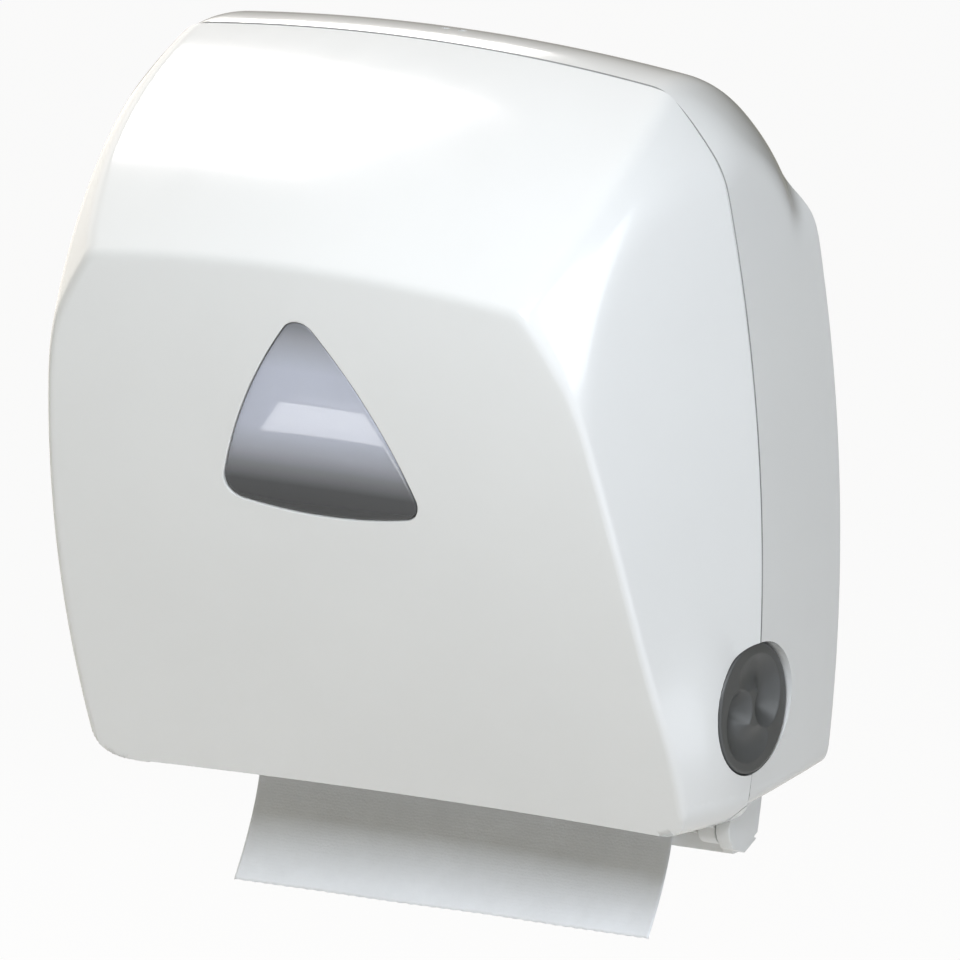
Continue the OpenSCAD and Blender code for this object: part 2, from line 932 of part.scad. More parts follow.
// Knob face: flat disc with two comma recesses in point symmetry
recess_r = 6.5;
recess_arc = 16;
recess_from = 85;
recess_turn = 125;
recess_head_r = 7;
recess_head_arc = 9;

module knob_recess() {
    rotate([0, 0, recess_from]) {
        rotate_extrude(angle = recess_turn, $fn = 72)
            translate([recess_arc, 0]) circle(r = recess_r, $fn = 48);
        translate([recess_head_arc, 0, 0]) sphere(r = recess_head_r, $fn = 72);
        translate([recess_arc - 0.3, 0, 0]) sphere(r = recess_r + 0.5, $fn = 72);
    }
    rotate([0, 0, recess_from + recess_turn])
        translate([recess_arc - 0.2, 0, 0])
            sphere(r = recess_r + 0.4, $fn = 72);
}

module knob() {
    color(dark_grey)
        translate([0, drum_y, drum_z])
            rotate([0, 90, 0])
                difference() {
                    union() {
                        translate([0, 0, knob_back])
                            rotate_extrude()
                                polygon([
                                    [0, 0], [knob_r, 0], [knob_r, knob_t - knob_edge],
                                    [knob_r - knob_edge, knob_t], [0, knob_t]
                                ]);
                        translate([0, 0, knob_hub])
                            cylinder(r = shaft_r + hub_wall, h = knob_back - knob_hub + 1);
                    }
                    translate([0, 0, knob_hub - 1])
                        cylinder(r = shaft_r, h = knob_back + knob_grip - knob_hub + 1);
                    for (turn = [0, 180])
                        rotate([0, 0, turn])
                            translate([0, 0, knob_face + 1])
                                knob_recess();
                }
}

// Pressure arm: a yoke that swings on pins in the side plates and carries the roller
cheek_t = 4;
cheek_x = drum_half + 1;
axle_r = 3;
sleeves = 4;
sleeve_gap = 8;
bar_r = 4.5;
pin_grip = 8;
eye_wall = 3;

module pressure_arm() {
    color(natural)
        difference() {
            union() {
                both_sides()
                    plate_yz(cheek_x, cheek_x + cheek_t) {
                        translate(press_pivot) circle(r = press_pin_r + eye_wall);
                        translate(press_c) circle(r = axle_r + eye_wall);
                        polygon([
                            press_pivot + [-4, 4], press_pivot + [2, -5.5],
                            press_c + [3, -4.5], press_c + [-4, 4]
                        ]);
                    }
                along_x(-cheek_x - 0.5, cheek_x + 0.5, bar_r, press_pivot[0], press_pivot[1]);
            }
            both_sides() {
                along_x(cheek_x - pin_grip, cheek_x + pin_grip, press_pin_r, press_pivot[0], press_pivot[1]);
                along_x(cheek_x - pin_grip, cheek_x + pin_grip, axle_r + run_gap, press_c[0], press_c[1]);
            }
        }
}

module pressure_pins() {
    color(steel)
        both_sides()
            along_x(cheek_x - pin_grip, plate_x + plate_t, press_pin_r, press_pivot[0], press_pivot[1]);
}

module pressure_axle() {
    color(steel)
        along_x(-cheek_x - cheek_t, cheek_x + cheek_t, axle_r, press_c[0], press_c[1]);
}

module pressure_sleeves() {
    pitch = paper_w / sleeves;
    color(rubber)
        for (i = [0:sleeves - 1])
            let (x = (i - (sleeves - 1) / 2) * pitch, half = (pitch - sleeve_gap) / 2)
                difference() {
                    along_x(x - half, x + half, press_r, press_c[0], press_c[1]);
                    along_x(x - pitch, x + pitch, axle_r, press_c[0], press_c[1]);
                }
}

// Roll, core and the two hub arms
hub_len = 12;
hub_taper = 3;
hub_r = core_r - core_wall - free_gap;

module roll_arm() {
    hub_x = paper_w / 2;
    difference() {
        union() {
            translate([knuckle_x, knuckle_y, roll_z]) cylinder(r = knuckle_r, h = knuckle_h, center = true);
            plate_yz(arm_x, arm_x + arm_t) {
                translate([roll_y, roll_z]) circle(r = hub_r + 3);
                polygon([
                    [knuckle_y, roll_z - knuckle_h / 2], [knuckle_y, roll_z + knuckle_h / 2],
                    [roll_y + 4, roll_z + hub_r + 2.5], [roll_y + 4, roll_z - hub_r - 2.5]
                ]);
            }
            along_x(hub_x, arm_x + 0.5, hub_r, roll_y, roll_z);
            translate([hub_x - hub_len, roll_y, roll_z])
                rotate([0, 90, 0])
                    cylinder(r1 = hub_r - hub_taper, r2 = hub_r, h = hub_len);
        }
        translate([knuckle_x, knuckle_y, roll_z])
            cylinder(r = arm_pin_r + run_gap, h = knuckle_h + 2, center = true);
        along_x(hub_x - hub_len - 1, arm_x + arm_t + 1, hub_r - hub_taper - 4, roll_y, roll_z);
    }
}

module roll_arm_left() {
    color(white) mirror([1, 0, 0]) roll_arm();
}

module roll_arm_right() {
    color(white) roll_arm();
}

module arm_pins() {
    color(steel)
        both_sides()
            translate([knuckle_x, knuckle_y, roll_z])
                cylinder(r = arm_pin_r, h = knuckle_h + 2 * (free_gap + lug_h), center = true);
}

module paper_roll() {
    color(paper)
        difference() {
            along_x(-paper_w / 2, paper_w / 2, roll_r, roll_y, roll_z);
            along_x(-paper_w, paper_w, core_r, roll_y, roll_z);
        }
}

module roll_core() {
    color(card)
        difference() {
            along_x(-paper_w / 2, paper_w / 2, core_r, roll_y, roll_z);
            along_x(-paper_w, paper_w, core_r - core_wall, roll_y, roll_z);
        }
}

// Web: off the front of the roll, under the pressure roller, over the drum and down behind it
web_mid = web_t / 2;
roll_wrap_r = roll_r + free_gap + web_mid;
press_wrap_r = press_r + free_gap + web_mid;
lead_slack = 1.4;
lead_wrap_r = press_wrap_r + lead_slack;
drum_wrap_r = web_r + web_mid;
roll_c = [roll_y, roll_z];
web_d = press_c - roll_c;
web_lead = atan2(web_d[1], web_d[0]) - acos((roll_wrap_r - lead_wrap_r) / norm(web_d));
tail_start = -case_drop - 8;
tail_steps = 10;

nip_turn = nip_angle - 180 - web_lead;
press_turn = nip_turn - 360 * floor(nip_turn / 360);

web_path = concat(
    [for (a = [web_lead - 24:6:web_lead]) polar(roll_c, roll_wrap_r, a)],
    [for (i = [0:8]) polar(press_c, lead_wrap_r - lead_slack * i / 8, web_lead + press_turn * i / 8)],
    [for (a = [nip_angle - 8:-8:0]) polar([drum_y, drum_z], drum_wrap_r, a)],
    [
        for (i = [0:tail_steps])
            let (t = i / tail_steps)
                [
                    drum_y + drum_wrap_r - tail_forward * pow(t, 1.6),
                    tail_start + (-tail_drop - tail_start) * t
                ]
    ]
);

function web_side(k) =
    let (n = len(web_path), u = web_path[min(k + 1, n - 1)] - web_path[max(k - 1, 0)])
        web_mid * [u[1], -u[0]] / norm(u);

module towel() {
    last = len(web_path) - 1;
    color(paper)
        plate_yz(-paper_w / 2, paper_w / 2)
            polygon(concat(
                [for (k = [0:last]) web_path[k] + web_side(k)],
                [for (k = [last:-1:0]) web_path[k] - web_side(k)]
            ));
}

// Guides behind the web
guide_t = 2;
guide_y = drum_y + drum_wrap_r + web_mid + free_gap;
guide_half = drum_half + 4.5;
lip_t = 6;
lip_top = -case_drop - 16;
lip_h = 7;
lip_y = guide_y + 3;
lip_arm_t = 5;
lip_arm_rise = 18;
lip_arm_w = 8;

module web_guide() {
    foot = -case_drop + 2;
    color(natural) {
        plate_yz(-guide_half, guide_half)
            polygon([
                [guide_y, foot], [guide_y, drum_z + 6], [guide_y + 3, drum_z + 16],
                [guide_y + 3 + guide_t, drum_z + 16], [guide_y + guide_t, drum_z + 5],
                [guide_y + guide_t, foot]
            ]);
        slab(-plate_x, plate_x, guide_y, guide_y + guide_t, foot, drum_z - plate_foot + 6);
        for (x = [-guide_half + 10:(2 * guide_half - 20) / 6:guide_half - 10])
            slab(x - 0.8, x + 0.8, guide_y + guide_t - 0.2, guide_y + 7, foot, drum_z);
    }
}

module lower_guide() {
    arm_x0 = plate_x + plate_t;
    arm_top = drum_z - plate_foot + lip_arm_rise;
    color(white) {
        slab(-arm_x0 - lip_arm_t, arm_x0 + lip_arm_t, lip_y, lip_y + lip_t, lip_top - lip_h, lip_top);
        both_sides()
            plate_yz(arm_x0, arm_x0 + lip_arm_t)
                polygon([
                    [lip_y, lip_top - lip_h], [lip_y + lip_t, lip_top - lip_h],
                    [lip_y + lip_t, arm_top], [lip_y - lip_arm_w, arm_top],
                    [lip_y - lip_arm_w, -case_drop], [lip_y - lip_arm_w / 3, lip_top - 2]
                ]);
    }
}

rear_housing();
front_cover();
window_lens();
lower_guide();
web_guide();
towel();
chassis_left();
chassis_right();
chassis_screws();
drum_bush_left();
drum_bush_right();
cam_ring();
drum_shell();
drum_cap_left();
drum_cap_right();
drum_shaft();
grip_bands();
knob();
drum_crank();
assist_spring();
spring_post();
knife_carrier();
knife_blade();
knife_pins();
knife_follower();
pressure_arm();
pressure_pins();
pressure_axle();
pressure_sleeves();
roll_arm_left();
roll_arm_right();
arm_pins();
paper_roll();
roll_core();
latch_tongue();
latch_spring();
hinge_pins();
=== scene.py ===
import math
import bmesh
import bpy
import numpy as np
from mathutils import Matrix, Vector


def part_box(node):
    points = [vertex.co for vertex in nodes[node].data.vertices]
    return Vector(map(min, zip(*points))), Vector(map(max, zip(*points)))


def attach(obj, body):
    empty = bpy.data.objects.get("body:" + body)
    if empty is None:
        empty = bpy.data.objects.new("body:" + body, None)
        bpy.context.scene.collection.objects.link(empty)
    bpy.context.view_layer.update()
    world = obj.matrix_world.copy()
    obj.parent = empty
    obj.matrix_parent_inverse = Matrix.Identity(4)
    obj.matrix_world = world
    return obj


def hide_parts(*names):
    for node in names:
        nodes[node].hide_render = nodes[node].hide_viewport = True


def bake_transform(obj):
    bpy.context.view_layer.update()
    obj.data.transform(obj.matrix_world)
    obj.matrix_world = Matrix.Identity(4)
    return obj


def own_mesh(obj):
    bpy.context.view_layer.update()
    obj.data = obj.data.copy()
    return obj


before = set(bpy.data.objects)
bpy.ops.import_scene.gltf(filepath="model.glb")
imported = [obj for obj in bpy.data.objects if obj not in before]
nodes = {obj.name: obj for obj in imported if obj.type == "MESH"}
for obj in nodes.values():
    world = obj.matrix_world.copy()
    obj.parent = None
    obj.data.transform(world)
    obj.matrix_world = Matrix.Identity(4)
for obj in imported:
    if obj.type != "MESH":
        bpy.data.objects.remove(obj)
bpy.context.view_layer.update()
scene = bpy.context.scene
MM = 0.001
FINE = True

# Sizes of the part, in millimetres, as in its source
CASE_HALF, TOP, DROP, SEAM = 160.5, 157.0, 164.0, -66.0
CREASE, FOOT, UPPER_BOW, FRONT_BOW = (-173.0, 82.0), (-91.0, -164.0), 7.0, 8.5
CROWN_Z = TOP - 930.0
SIDE_R, SIDE_Z, CORNER_R = 780.0, -50.0, 16.0
TAPER = math.radians(15.5)
FACET_R, FACET_RISE = 220.0, 10.4
FACET_MID = np.array([CASE_HALF - 36.25, SEAM - 49.25, TOP - 62.15])
SHOULDER_C, SHOULDER_R = np.array([CASE_HALF - 102.5, SEAM + 5.5, TOP - 93.9]), 103.0
RIM_C, RIM_R = np.array([CASE_HALF - 47, TOP - 93.5]), 40.5
ROLL_OVER_C, ROLL_OVER_R = np.array([SEAM + 10, TOP + 1 - 75.0]), 75.0
FLOOR_TILT, FLOOR_STEP = math.radians(6), 5.0
WALL, LENS_T, LENS_GAP, LENS_BORDER = 3.0, 2.0, 0.3, 4.0
WIN_W, WIN_H, WIN_X, WIN_Z, WIN_CORNER, WIN_BULGE = 89.0, 83.0, -6.5, 12.5, 9.0, 6.0
DRUM, DRUM_R, CRANK_ARM = np.array([-66.0, -112.0]), 30.0, 17.0
KNOB_R, KNOB_BACK, HUB_R, HUB_END = 28.0, CASE_HALF - 18.5, 9.0, 126.0
HINGE, HINGE_CLEAR = np.array([-60.0, -167.0]), 14.0
EAR_X, EAR_T, TAB_X, TAB_T, BOSS_R = CASE_HALF - 21.5, 6.0, CASE_HALF - 22.3, 8.5, 7.5
PLATE_X = 118.0
EXIT_HALF, EXIT_BACK = PLATE_X + 9.0, 24.0
PAPER_W, ROLL_R, CORE_R, CORE_WALL = 200.0, 65.0, 20.0, 1.5
ROLL = np.array([-78.0, 42.0])
KNUCKLE = np.array([104.5, -7.9])
CATCH_HALF, CATCH_Z, CATCH_T, BARB_Y, BARB_T, BARB_H = 9, TOP - 9, 2.5, SEAM + 12.5, 3, 4
KEY_X, KEY_Y, KEY_W = 4.0, SEAM + 18, 3.0
SHELF_Z, STEM_Y = TOP - 45, SEAM + 16
HOLE_X, HOLE_Z, HOLE_R = 75.0, 115.0, 2.75

# Sizes that the scene sets for itself, in millimetres
SEAM_GAP, SEAM_EDGE, SEAM_LINE = 0.7, 0.12, 0.6
KNOB_FACE, KNOB_GAP, KNOB_EDGE, HUB_EDGE = CASE_HALF - 4.3, 0.8, 1.2, 0.4
SWELL_SINK, SWELL_REACH, SWELL_SOFT = 0.3, 24.0, 1.5
LENS_SINK, LENS_EDGE, WIN_EDGE = 0.35, 0.9, 0.8
LIP_END, LIP_ARM = -99.0, 5.0
FACET_FADE, FACET_SINK, RIM_FLARE = 24.0, 8.0, 0.15
FITTING_EDGE = 0.5

# Blend radii where faces meet
SIDE_SOFT, CREASE_SOFT, SHOULDER_SOFT, RIM_SOFT, FLOOR_SOFT = 3.5, 3.0, 2.5, 3.5, 9.0

# How far the middle of a rounded edge lies in from its corner, as a share of the radius
ROUND = 0.29


# Forms: negative inside, t millimetres under the outer face

def arc(a, b, sag):
    """Centre and radius of an arc through two points that bows out by its sag."""
    a, b = np.array(a, float), np.array(b, float)
    half = np.linalg.norm(b - a) / 2
    r = (half * half + sag * sag) / (2 * sag)
    u = (b - a) / (2 * half)
    return (a + b) / 2 - np.array([u[1], -u[0]]) * (r - sag), r


UPPER_C, UPPER_R = arc((SEAM, TOP), CREASE, UPPER_BOW)
FRONT_C, FRONT_R = arc(CREASE, FOOT, FRONT_BOW)
FACET_N = np.array([0.765, -0.4375, 0.472])
FACET_N = FACET_N / np.linalg.norm(FACET_N)
FACET_C = FACET_MID - FACET_N * (FACET_R - FACET_RISE)


def soft_max(a, b, k):
    """The larger of two forms, rounded where they meet."""
    return np.maximum(a, b) + np.maximum(k - np.abs(a - b), 0) ** 2 / (4 * k)


def soft_min(a, b, k):
    """The smaller of two forms, rounded where they meet."""
    return -soft_max(-a, -b, k)


def crown(p):
    """Height of the middle section that is swept through a point by the crown."""
    return np.hypot(p[..., 0], p[..., 2] - CROWN_Z) + CROWN_Z


def swept_form(p, t, c, r):
    """An arc of the middle section, swept sideways along the crown."""
    return np.hypot(p[..., 1] - c[0], crown(p) - c[1]) - (r - t)


def side_local(p, taper):
    """Distance out from the tapered side's plane, and height from its middle."""
    qx, qy, qz = np.abs(p[..., 0]) - CASE_HALF, p[..., 1] - SEAM, p[..., 2] - SIDE_Z
    return math.cos(taper) * qx - math.sin(taper) * qy, qz


def side_form(p, t, taper):
    """The bowed side."""
    x, z = side_local(p, taper)
    return np.hypot(x + SIDE_R, z) - (SIDE_R - t)


def knob_swell(p):
    """How far the cover's right side swells out, to lie flush with the front rim of the knob."""
    y, z = p[..., 1] - DRUM[0], p[..., 2] - DRUM[1]
    r = np.maximum(np.hypot(y, z), 1e-6)
    rim = np.minimum(1, (KNOB_R + KNOB_GAP) / r)
    qy, qz = y * rim + DRUM[0] - SEAM, z * rim + DRUM[1] - SIDE_Z
    side = (np.sqrt(SIDE_R ** 2 - qz ** 2) - SIDE_R + math.sin(TAPER) * qy) / math.cos(TAPER)
    need = soft_max(KNOB_FACE - SWELL_SINK - CASE_HALF - side, 0 * side, SWELL_SOFT) - SWELL_SOFT / 4
    fade = np.exp(-(np.maximum(r - KNOB_R - KNOB_GAP, 0) / SWELL_REACH) ** 2)
    return np.where(p[..., 0] > 0, np.maximum(need, 0) * fade * math.cos(TAPER), 0)


def corner_form(p, t, taper, swell=0.0):
    """The rounded lower corner of a side."""
    x, z = side_local(p, taper)
    x = x - swell
    drop = CORNER_R - DROP - SIDE_Z
    across = math.sqrt((SIDE_R - CORNER_R) ** 2 - drop * drop) - SIDE_R
    inside = (x > across) & (z < drop)
    return np.where(inside, np.hypot(x - across, z - drop) - (CORNER_R - t), -1e6)


def facet_form(p, t):
    """The ball-shaped facet at an upper corner, which fades out further down."""
    q = np.stack([np.abs(p[..., 0]), p[..., 1], p[..., 2]], axis=-1) - FACET_C
    fade = np.clip((FACET_FADE - q[..., 2]) / FACET_FADE, 0, 40)
    return np.linalg.norm(q, axis=-1) - (FACET_R - t) - FACET_SINK * fade ** 2


def shoulder_form(p, t):
    """The dome at the housing's upper corner, which ends in a rim at the wall."""
    x, y, z = np.abs(p[..., 0]), p[..., 1], p[..., 2]
    over = np.maximum(z - SHOULDER_C[2], 0)
    dome = np.sqrt(np.maximum(x - SHOULDER_C[0], 0) ** 2 + (y - SHOULDER_C[1]) ** 2 + over ** 2)
    rim = np.hypot(np.maximum(x - RIM_C[0], 0), np.maximum(z - RIM_C[1], 0))
    rim = rim - RIM_FLARE * np.maximum(RIM_C[1] - z, 0)
    return soft_min(dome - (SHOULDER_R - t), rim - (RIM_R - t), RIM_SOFT)


def floor_form(p, t):
    """The tilted underside of the housing."""
    up = p[..., 2] + DROP - FLOOR_STEP
    return t - (up * math.cos(FLOOR_TILT) - (p[..., 1] - SEAM) * math.sin(FLOOR_TILT))


def cover_faces(p, t):
    upper, front = swept_form(p, t, UPPER_C, UPPER_R), swept_form(p, t, FRONT_C, FRONT_R)
    return upper, front, side_form(p, t, TAPER) - knob_swell(p), facet_form(p, t)


def cover_form(p, t):
    upper, front, side, facet = cover_faces(p, t)
    f = soft_max(soft_max(side, facet, SIDE_SOFT), upper, CREASE_SOFT)
    f = soft_max(f, front, CREASE_SOFT)
    return np.maximum(f, corner_form(p, t, TAPER, knob_swell(p)))


def housing_form(p, t):
    up = np.maximum(crown(p) - ROLL_OVER_C[1], 0)
    roll = np.hypot(p[..., 1] - ROLL_OVER_C[0], up) - (ROLL_OVER_R - t)
    f = soft_max(soft_max(side_form(p, t, 0), facet_form(p, t), SIDE_SOFT), roll, CREASE_SOFT)
    f = np.maximum(soft_max(f, shoulder_form(p, t), SHOULDER_SOFT), corner_form(p, t, 0))
    return soft_max(f, floor_form(p, t), FLOOR_SOFT)


def solve(form, start, way, t, far=420.0):
    """Points where rays from inside leave a form."""
    lo = np.zeros(way.shape[:-1])
    hi = np.full(way.shape[:-1], far)
    for _ in range(40):
        mid = (lo + hi) / 2
        out = form(start + way * mid[..., None], t) > 0
        hi = np.where(out, mid, hi)
        lo = np.where(out, lo, mid)
    return start + way * lo[..., None]


def gradient(form, p, t):
    """Outward directions of a form at points on it."""
    probe = 0.05
    g = np.zeros_like(p)
    for i in range(3):
        d = np.zeros(3)
        d[i] = probe
        g[..., i] = form(p + d, t) - form(p - d, t)
    return g / np.maximum(np.linalg.norm(g, axis=-1, keepdims=True), 1e-9)


def unit(v):
    return v / np.linalg.norm(v, axis=-1, keepdims=True)


def polar(c, r, a):
    return np.asarray(c) + np.stack([r * np.cos(a), r * np.sin(a)], axis=-1)


def resample(points, step):
    """Points at even steps along a polyline, its last point left out."""
    along = np.concatenate([[0], np.cumsum(np.linalg.norm(np.diff(points, axis=0), axis=1))])
    at = np.linspace(0, along[-1], max(2, int(round(along[-1] / step))), endpoint=False)
    return np.stack([np.interp(at, along, points[:, i]) for i in range(points.shape[1])], axis=1)


# Meshes

class Mesh:
    """Collects vertices and faces in millimetres, then becomes one object."""

    def __init__(self):
        self.verts, self.faces, self.mats = [], [], []

    def add(self, points):
        start = len(self.verts)
        self.verts.extend(map(tuple, np.reshape(points, (-1, 3))))
        return np.arange(start, len(self.verts)).reshape(np.shape(points)[:-1])

    def face(self, index, mat=0):
        self.faces.append([int(i) for i in index])
        self.mats.append(mat)

    def strip(self, rows, closed=True, mat=0):
        """Quads between index rows."""
        n = len(rows[0])
        for a, b in zip(rows[:-1], rows[1:]):
            for k in range(n if closed else n - 1):
                m = (k + 1) % n
                self.face((a[k], a[m], b[m], b[k]), mat)

    def cap(self, ring, mat=0):
        """A disc of rings that closes a loop of vertices."""
        pts = np.array([self.verts[i] for i in ring])
        mid = pts.mean(axis=0)
        rings = [ring] + [self.add(pts + (mid - pts) * s) for s in (0.25, 0.5, 0.75)]
        self.strip(rings, mat=mat)
        centre = self.add([mid])[0]
        for k in range(len(ring)):
            self.face((rings[-1][k], rings[-1][(k + 1) % len(ring)], centre), mat)

    def prism(self, outline, x0, x1):
        """An outline in Y and Z between two X."""
        ends = []
        for x in (x0, x1):
            ends.append(self.add([(x, y, z) for y, z in outline]))
        self.strip(ends)
        self.face(ends[0])
        self.face(ends[1][::-1])

    def block(self, x0, x1, y0, y1, z0, z1):
        self.prism([(y0, z0), (y1, z0), (y1, z1), (y0, z1)], x0, x1)

    def lathe(self, profile, c, count, closed=False):
        """A profile of (x, radius) turned about an axis along X."""
        a = np.linspace(0, 2 * math.pi, count, endpoint=False)
        rows = []
        for x, r in profile:
            circle = polar(c, r, a)
            rows.append(self.add(np.stack([np.full(count, x), circle[:, 0], circle[:, 1]], axis=-1)))
        self.strip(rows + rows[:1] if closed else rows)
        if not closed:
            self.face(rows[0])
            self.face(rows[-1][::-1])

    def object(self, name, materials, sharp=35):
        me = bpy.data.meshes.new(name)
        me.from_pydata([tuple(c * MM for c in v) for v in self.verts], [], self.faces)
        for m in materials:
            me.materials.append(m)
        me.polygons.foreach_set("material_index", self.mats)
        bm = bmesh.new()
        bm.from_mesh(me)
        bmesh.ops.recalc_face_normals(bm, faces=bm.faces)
        bm.to_mesh(me)
        bm.free()
        ob = bpy.data.objects.new(name, me)
        scene.collection.objects.link(ob)
        shade(ob, sharp)
        return ob


def shade(ob, sharp=35, layers=()):
    """Smooth shading with sharp edges by angle, and exact normals where faces lie on a form."""
    me = ob.data
    me.polygons.foreach_set("use_smooth", [True] * len(me.polygons))
    me.set_sharp_from_angle(angle=math.radians(sharp))
    if not layers:
        return
    co = np.zeros(len(me.vertices) * 3)
    me.vertices.foreach_get("co", co)
    co = co.reshape(-1, 3) / MM
    vert = np.zeros(len(me.loops), int)
    me.loops.foreach_get("vertex_index", vert)
    count = np.zeros(len(me.polygons), int)
    me.polygons.foreach_get("loop_total", count)
    flat = np.zeros(len(me.polygons) * 3)
    me.polygons.foreach_get("normal", flat)
    flat = np.repeat(flat.reshape(-1, 3), count, axis=0)
    normals = np.zeros((len(me.loops), 3))
    close, same_way = 0.02, 0.9
    for form, t, sign in layers:
        near = np.abs(form(co, t)) < close
        exact = sign * gradient(form, co, t)
        use = near[vert] & (np.sum(flat * exact[vert], axis=1) > same_way)
        normals[use] = exact[vert][use]
    me.normals_split_custom_set([tuple(n) for n in normals])


def cut(ob, *cutters):
    """Takes cutter objects out of a closed mesh."""
    for c in cutters:
        mod = ob.modifiers.new("cut", "BOOLEAN")
        mod.operation, mod.solver, mod.object = "DIFFERENCE", "MANIFOLD", c
    bpy.context.view_layer.update()
    graph = bpy.context.evaluated_depsgraph_get()
    me = bpy.data.meshes.new_from_object(ob.evaluated_get(graph))
    old, ob.data = ob.data, me
    ob.modifiers.clear()
    bpy.data.meshes.remove(old)
    for c in cutters:
        bpy.data.objects.remove(c)


def bevel(ob, width):
    """Rounds the sharp edges of a piece."""
    mod = ob.modifiers.new("edges", "BEVEL")
    mod.width, mod.segments, mod.limit_method = width * MM, 2, "ANGLE"
    mod.angle_limit = math.radians(40)
    mod.harden_normals = True


def piece(ob, body, slot, *stands_for):
    """Puts an object on its body and in place of the nodes that it stands for. Its slot is not used."""
    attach(ob, body)
    if stands_for:
        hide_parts(*stands_for)
    return ob


# Materials

def material(name, color, rough, **sockets):
    """A material with its node tree and its shader."""
    m = bpy.data.materials.new(name)
    m.use_nodes = True
    b = m.node_tree.nodes["Principled BSDF"]
    b.inputs["Base Color"].default_value = (*color, 1)
    b.inputs["Roughness"].default_value = rough
    for k, v in sockets.items():
        b.inputs[k.replace("_", " ")].default_value = v
    return m, m.node_tree, b


def place(nt, scale=(1, 1, 1), shift=(0, 0, 0)):
    """Coordinates that stay with the piece."""
    tc = nt.nodes.new("ShaderNodeTexCoord")
    at = nt.nodes.new("ShaderNodeMapping")
    at.inputs["Scale"].default_value = scale
    at.inputs["Location"].default_value = shift
    nt.links.new(tc.outputs["Object"], at.inputs["Vector"])
    return at.outputs["Vector"]


def noise(nt, scale, detail, rough=0.5):
    n = nt.nodes.new("ShaderNodeTexNoise")
    n.inputs["Scale"].default_value = scale
    n.inputs["Detail"].default_value = detail
    n.inputs["Roughness"].default_value = rough
    nt.links.new(place(nt), n.inputs["Vector"])
    return n.outputs["Fac"]


def ramp(nt, source, low, high, pos=(0.0, 1.0)):
    r = nt.nodes.new("ShaderNodeValToRGB")
    e = r.color_ramp.elements
    e[0].position, e[1].position = pos
    e[0].color = (*low, 1) if np.ndim(low) else (low, low, low, 1)
    e[1].color = (*high, 1) if np.ndim(high) else (high, high, high, 1)
    nt.links.new(source, r.inputs["Fac"])
    return r.outputs["Color"]


def bump(nt, source, strength, distance, onto=None):
    b = nt.nodes.new("ShaderNodeBump")
    b.inputs["Strength"].default_value = strength
    b.inputs["Distance"].default_value = distance
    nt.links.new(source, b.inputs["Height"])
    if onto is not None:
        nt.links.new(onto, b.inputs["Normal"])
    nt.links.new(b.outputs["Normal"], nt.nodes["Principled BSDF"].inputs["Normal"])
    return b.outputs["Normal"]


def tinted(color, share):
    """A colour made lighter or darker by a share."""
    return tuple(min(1, max(0, c * (1 + share))) for c in color)


def moulded(name, color, rough, grain=900, depth=0.00002, vary=0.02, **sockets):
    """Moulded surface: faint flow mottling, fine grain and a little change of roughness."""
    m, nt, b = material(name, color, rough, **sockets)
    tone = ramp(nt, noise(nt, 14, 3), tinted(color, -vary), tinted(color, vary), (0.3, 0.7))
    nt.links.new(tone, b.inputs["Base Color"])
    worn = ramp(nt, noise(nt, 60, 4), rough * 0.85, rough * 1.2, (0.3, 0.7))
    nt.links.new(worn, b.inputs["Roughness"])
    bump(nt, noise(nt, grain, 2), 0.25, depth)
    return m


def paper_material(name, color):
    """Soft tissue: small embossed cells over loose fibres."""
    m, nt, b = material(name, color, 0.92, Sheen_Weight=0.15)
    b.inputs["Specular IOR Level"].default_value = 0.15
    tone = ramp(nt, noise(nt, 55, 5, 0.65), tinted(color, -0.035), tinted(color, 0.03), (0.3, 0.7))
    nt.links.new(tone, b.inputs["Base Color"])
    cells = nt.nodes.new("ShaderNodeTexVoronoi")
    cells.inputs["Scale"].default_value = 850
    cells.inputs["Randomness"].default_value = 0.55
    nt.links.new(place(nt), cells.inputs["Vector"])
    base = bump(nt, cells.outputs["Distance"], 0.3, 0.0004)
    bump(nt, noise(nt, 2200, 4, 0.7), 0.35, 0.0002, base)
    return m


def wound_material(name, color):
    """Ends of the wound paper: rings of its layers."""
    m, nt, b = material(name, color, 0.9, Sheen_Weight=0.1)
    rings = nt.nodes.new("ShaderNodeTexWave")
    rings.wave_type, rings.rings_direction = "RINGS", "X"
    rings.inputs["Scale"].default_value = 260
    rings.inputs["Distortion"].default_value = 2.5
    rings.inputs["Detail Scale"].default_value = 3
    nt.links.new(place(nt, shift=(0, -ROLL[0] * MM, -ROLL[1] * MM)), rings.inputs["Vector"])
    nt.links.new(ramp(nt, rings.outputs["Fac"], tinted(color, -0.16), color), b.inputs["Base Color"])
    base = bump(nt, rings.outputs["Fac"], 0.4, 0.0003)
    bump(nt, noise(nt, 900, 4, 0.6), 0.4, 0.0003, base)
    return m


white = moulded("white_gloss", (0.79, 0.80, 0.80), 0.14, grain=220, depth=0.00001, vary=0.01,
                Coat_Weight=0.3)
white_in = moulded("white_satin", (0.74, 0.75, 0.75), 0.42, grain=1500, depth=0.00003)
# Dark painted shade for the seam line: it stands in for the shadow in the gap between cover and housing
seam_shade = moulded("painted_seam_shade", (0.3, 0.3, 0.295), 0.7, vary=0.1)
natural = moulded("natural_satin", (0.66, 0.68, 0.66), 0.45, grain=1400, depth=0.00003)
dark = moulded("dark_satin", (0.085, 0.088, 0.088), 0.38, grain=2600, depth=0.00003, vary=0.06)
steel = moulded("drawn_steel", (0.52, 0.53, 0.54), 0.3, grain=1800, depth=0.00001, vary=0.06,
                Metallic=1.0)
rubber = moulded("grip_rubber", (0.025, 0.025, 0.027), 0.75, grain=1100, depth=0.00008, vary=0.15)
card = moulded("core_card", (0.36, 0.25, 0.15), 0.85, grain=500, depth=0.0001, vary=0.12)
tissue = paper_material("embossed_tissue", (0.89, 0.91, 0.94))
wound = wound_material("wound_tissue", (0.80, 0.82, 0.85))
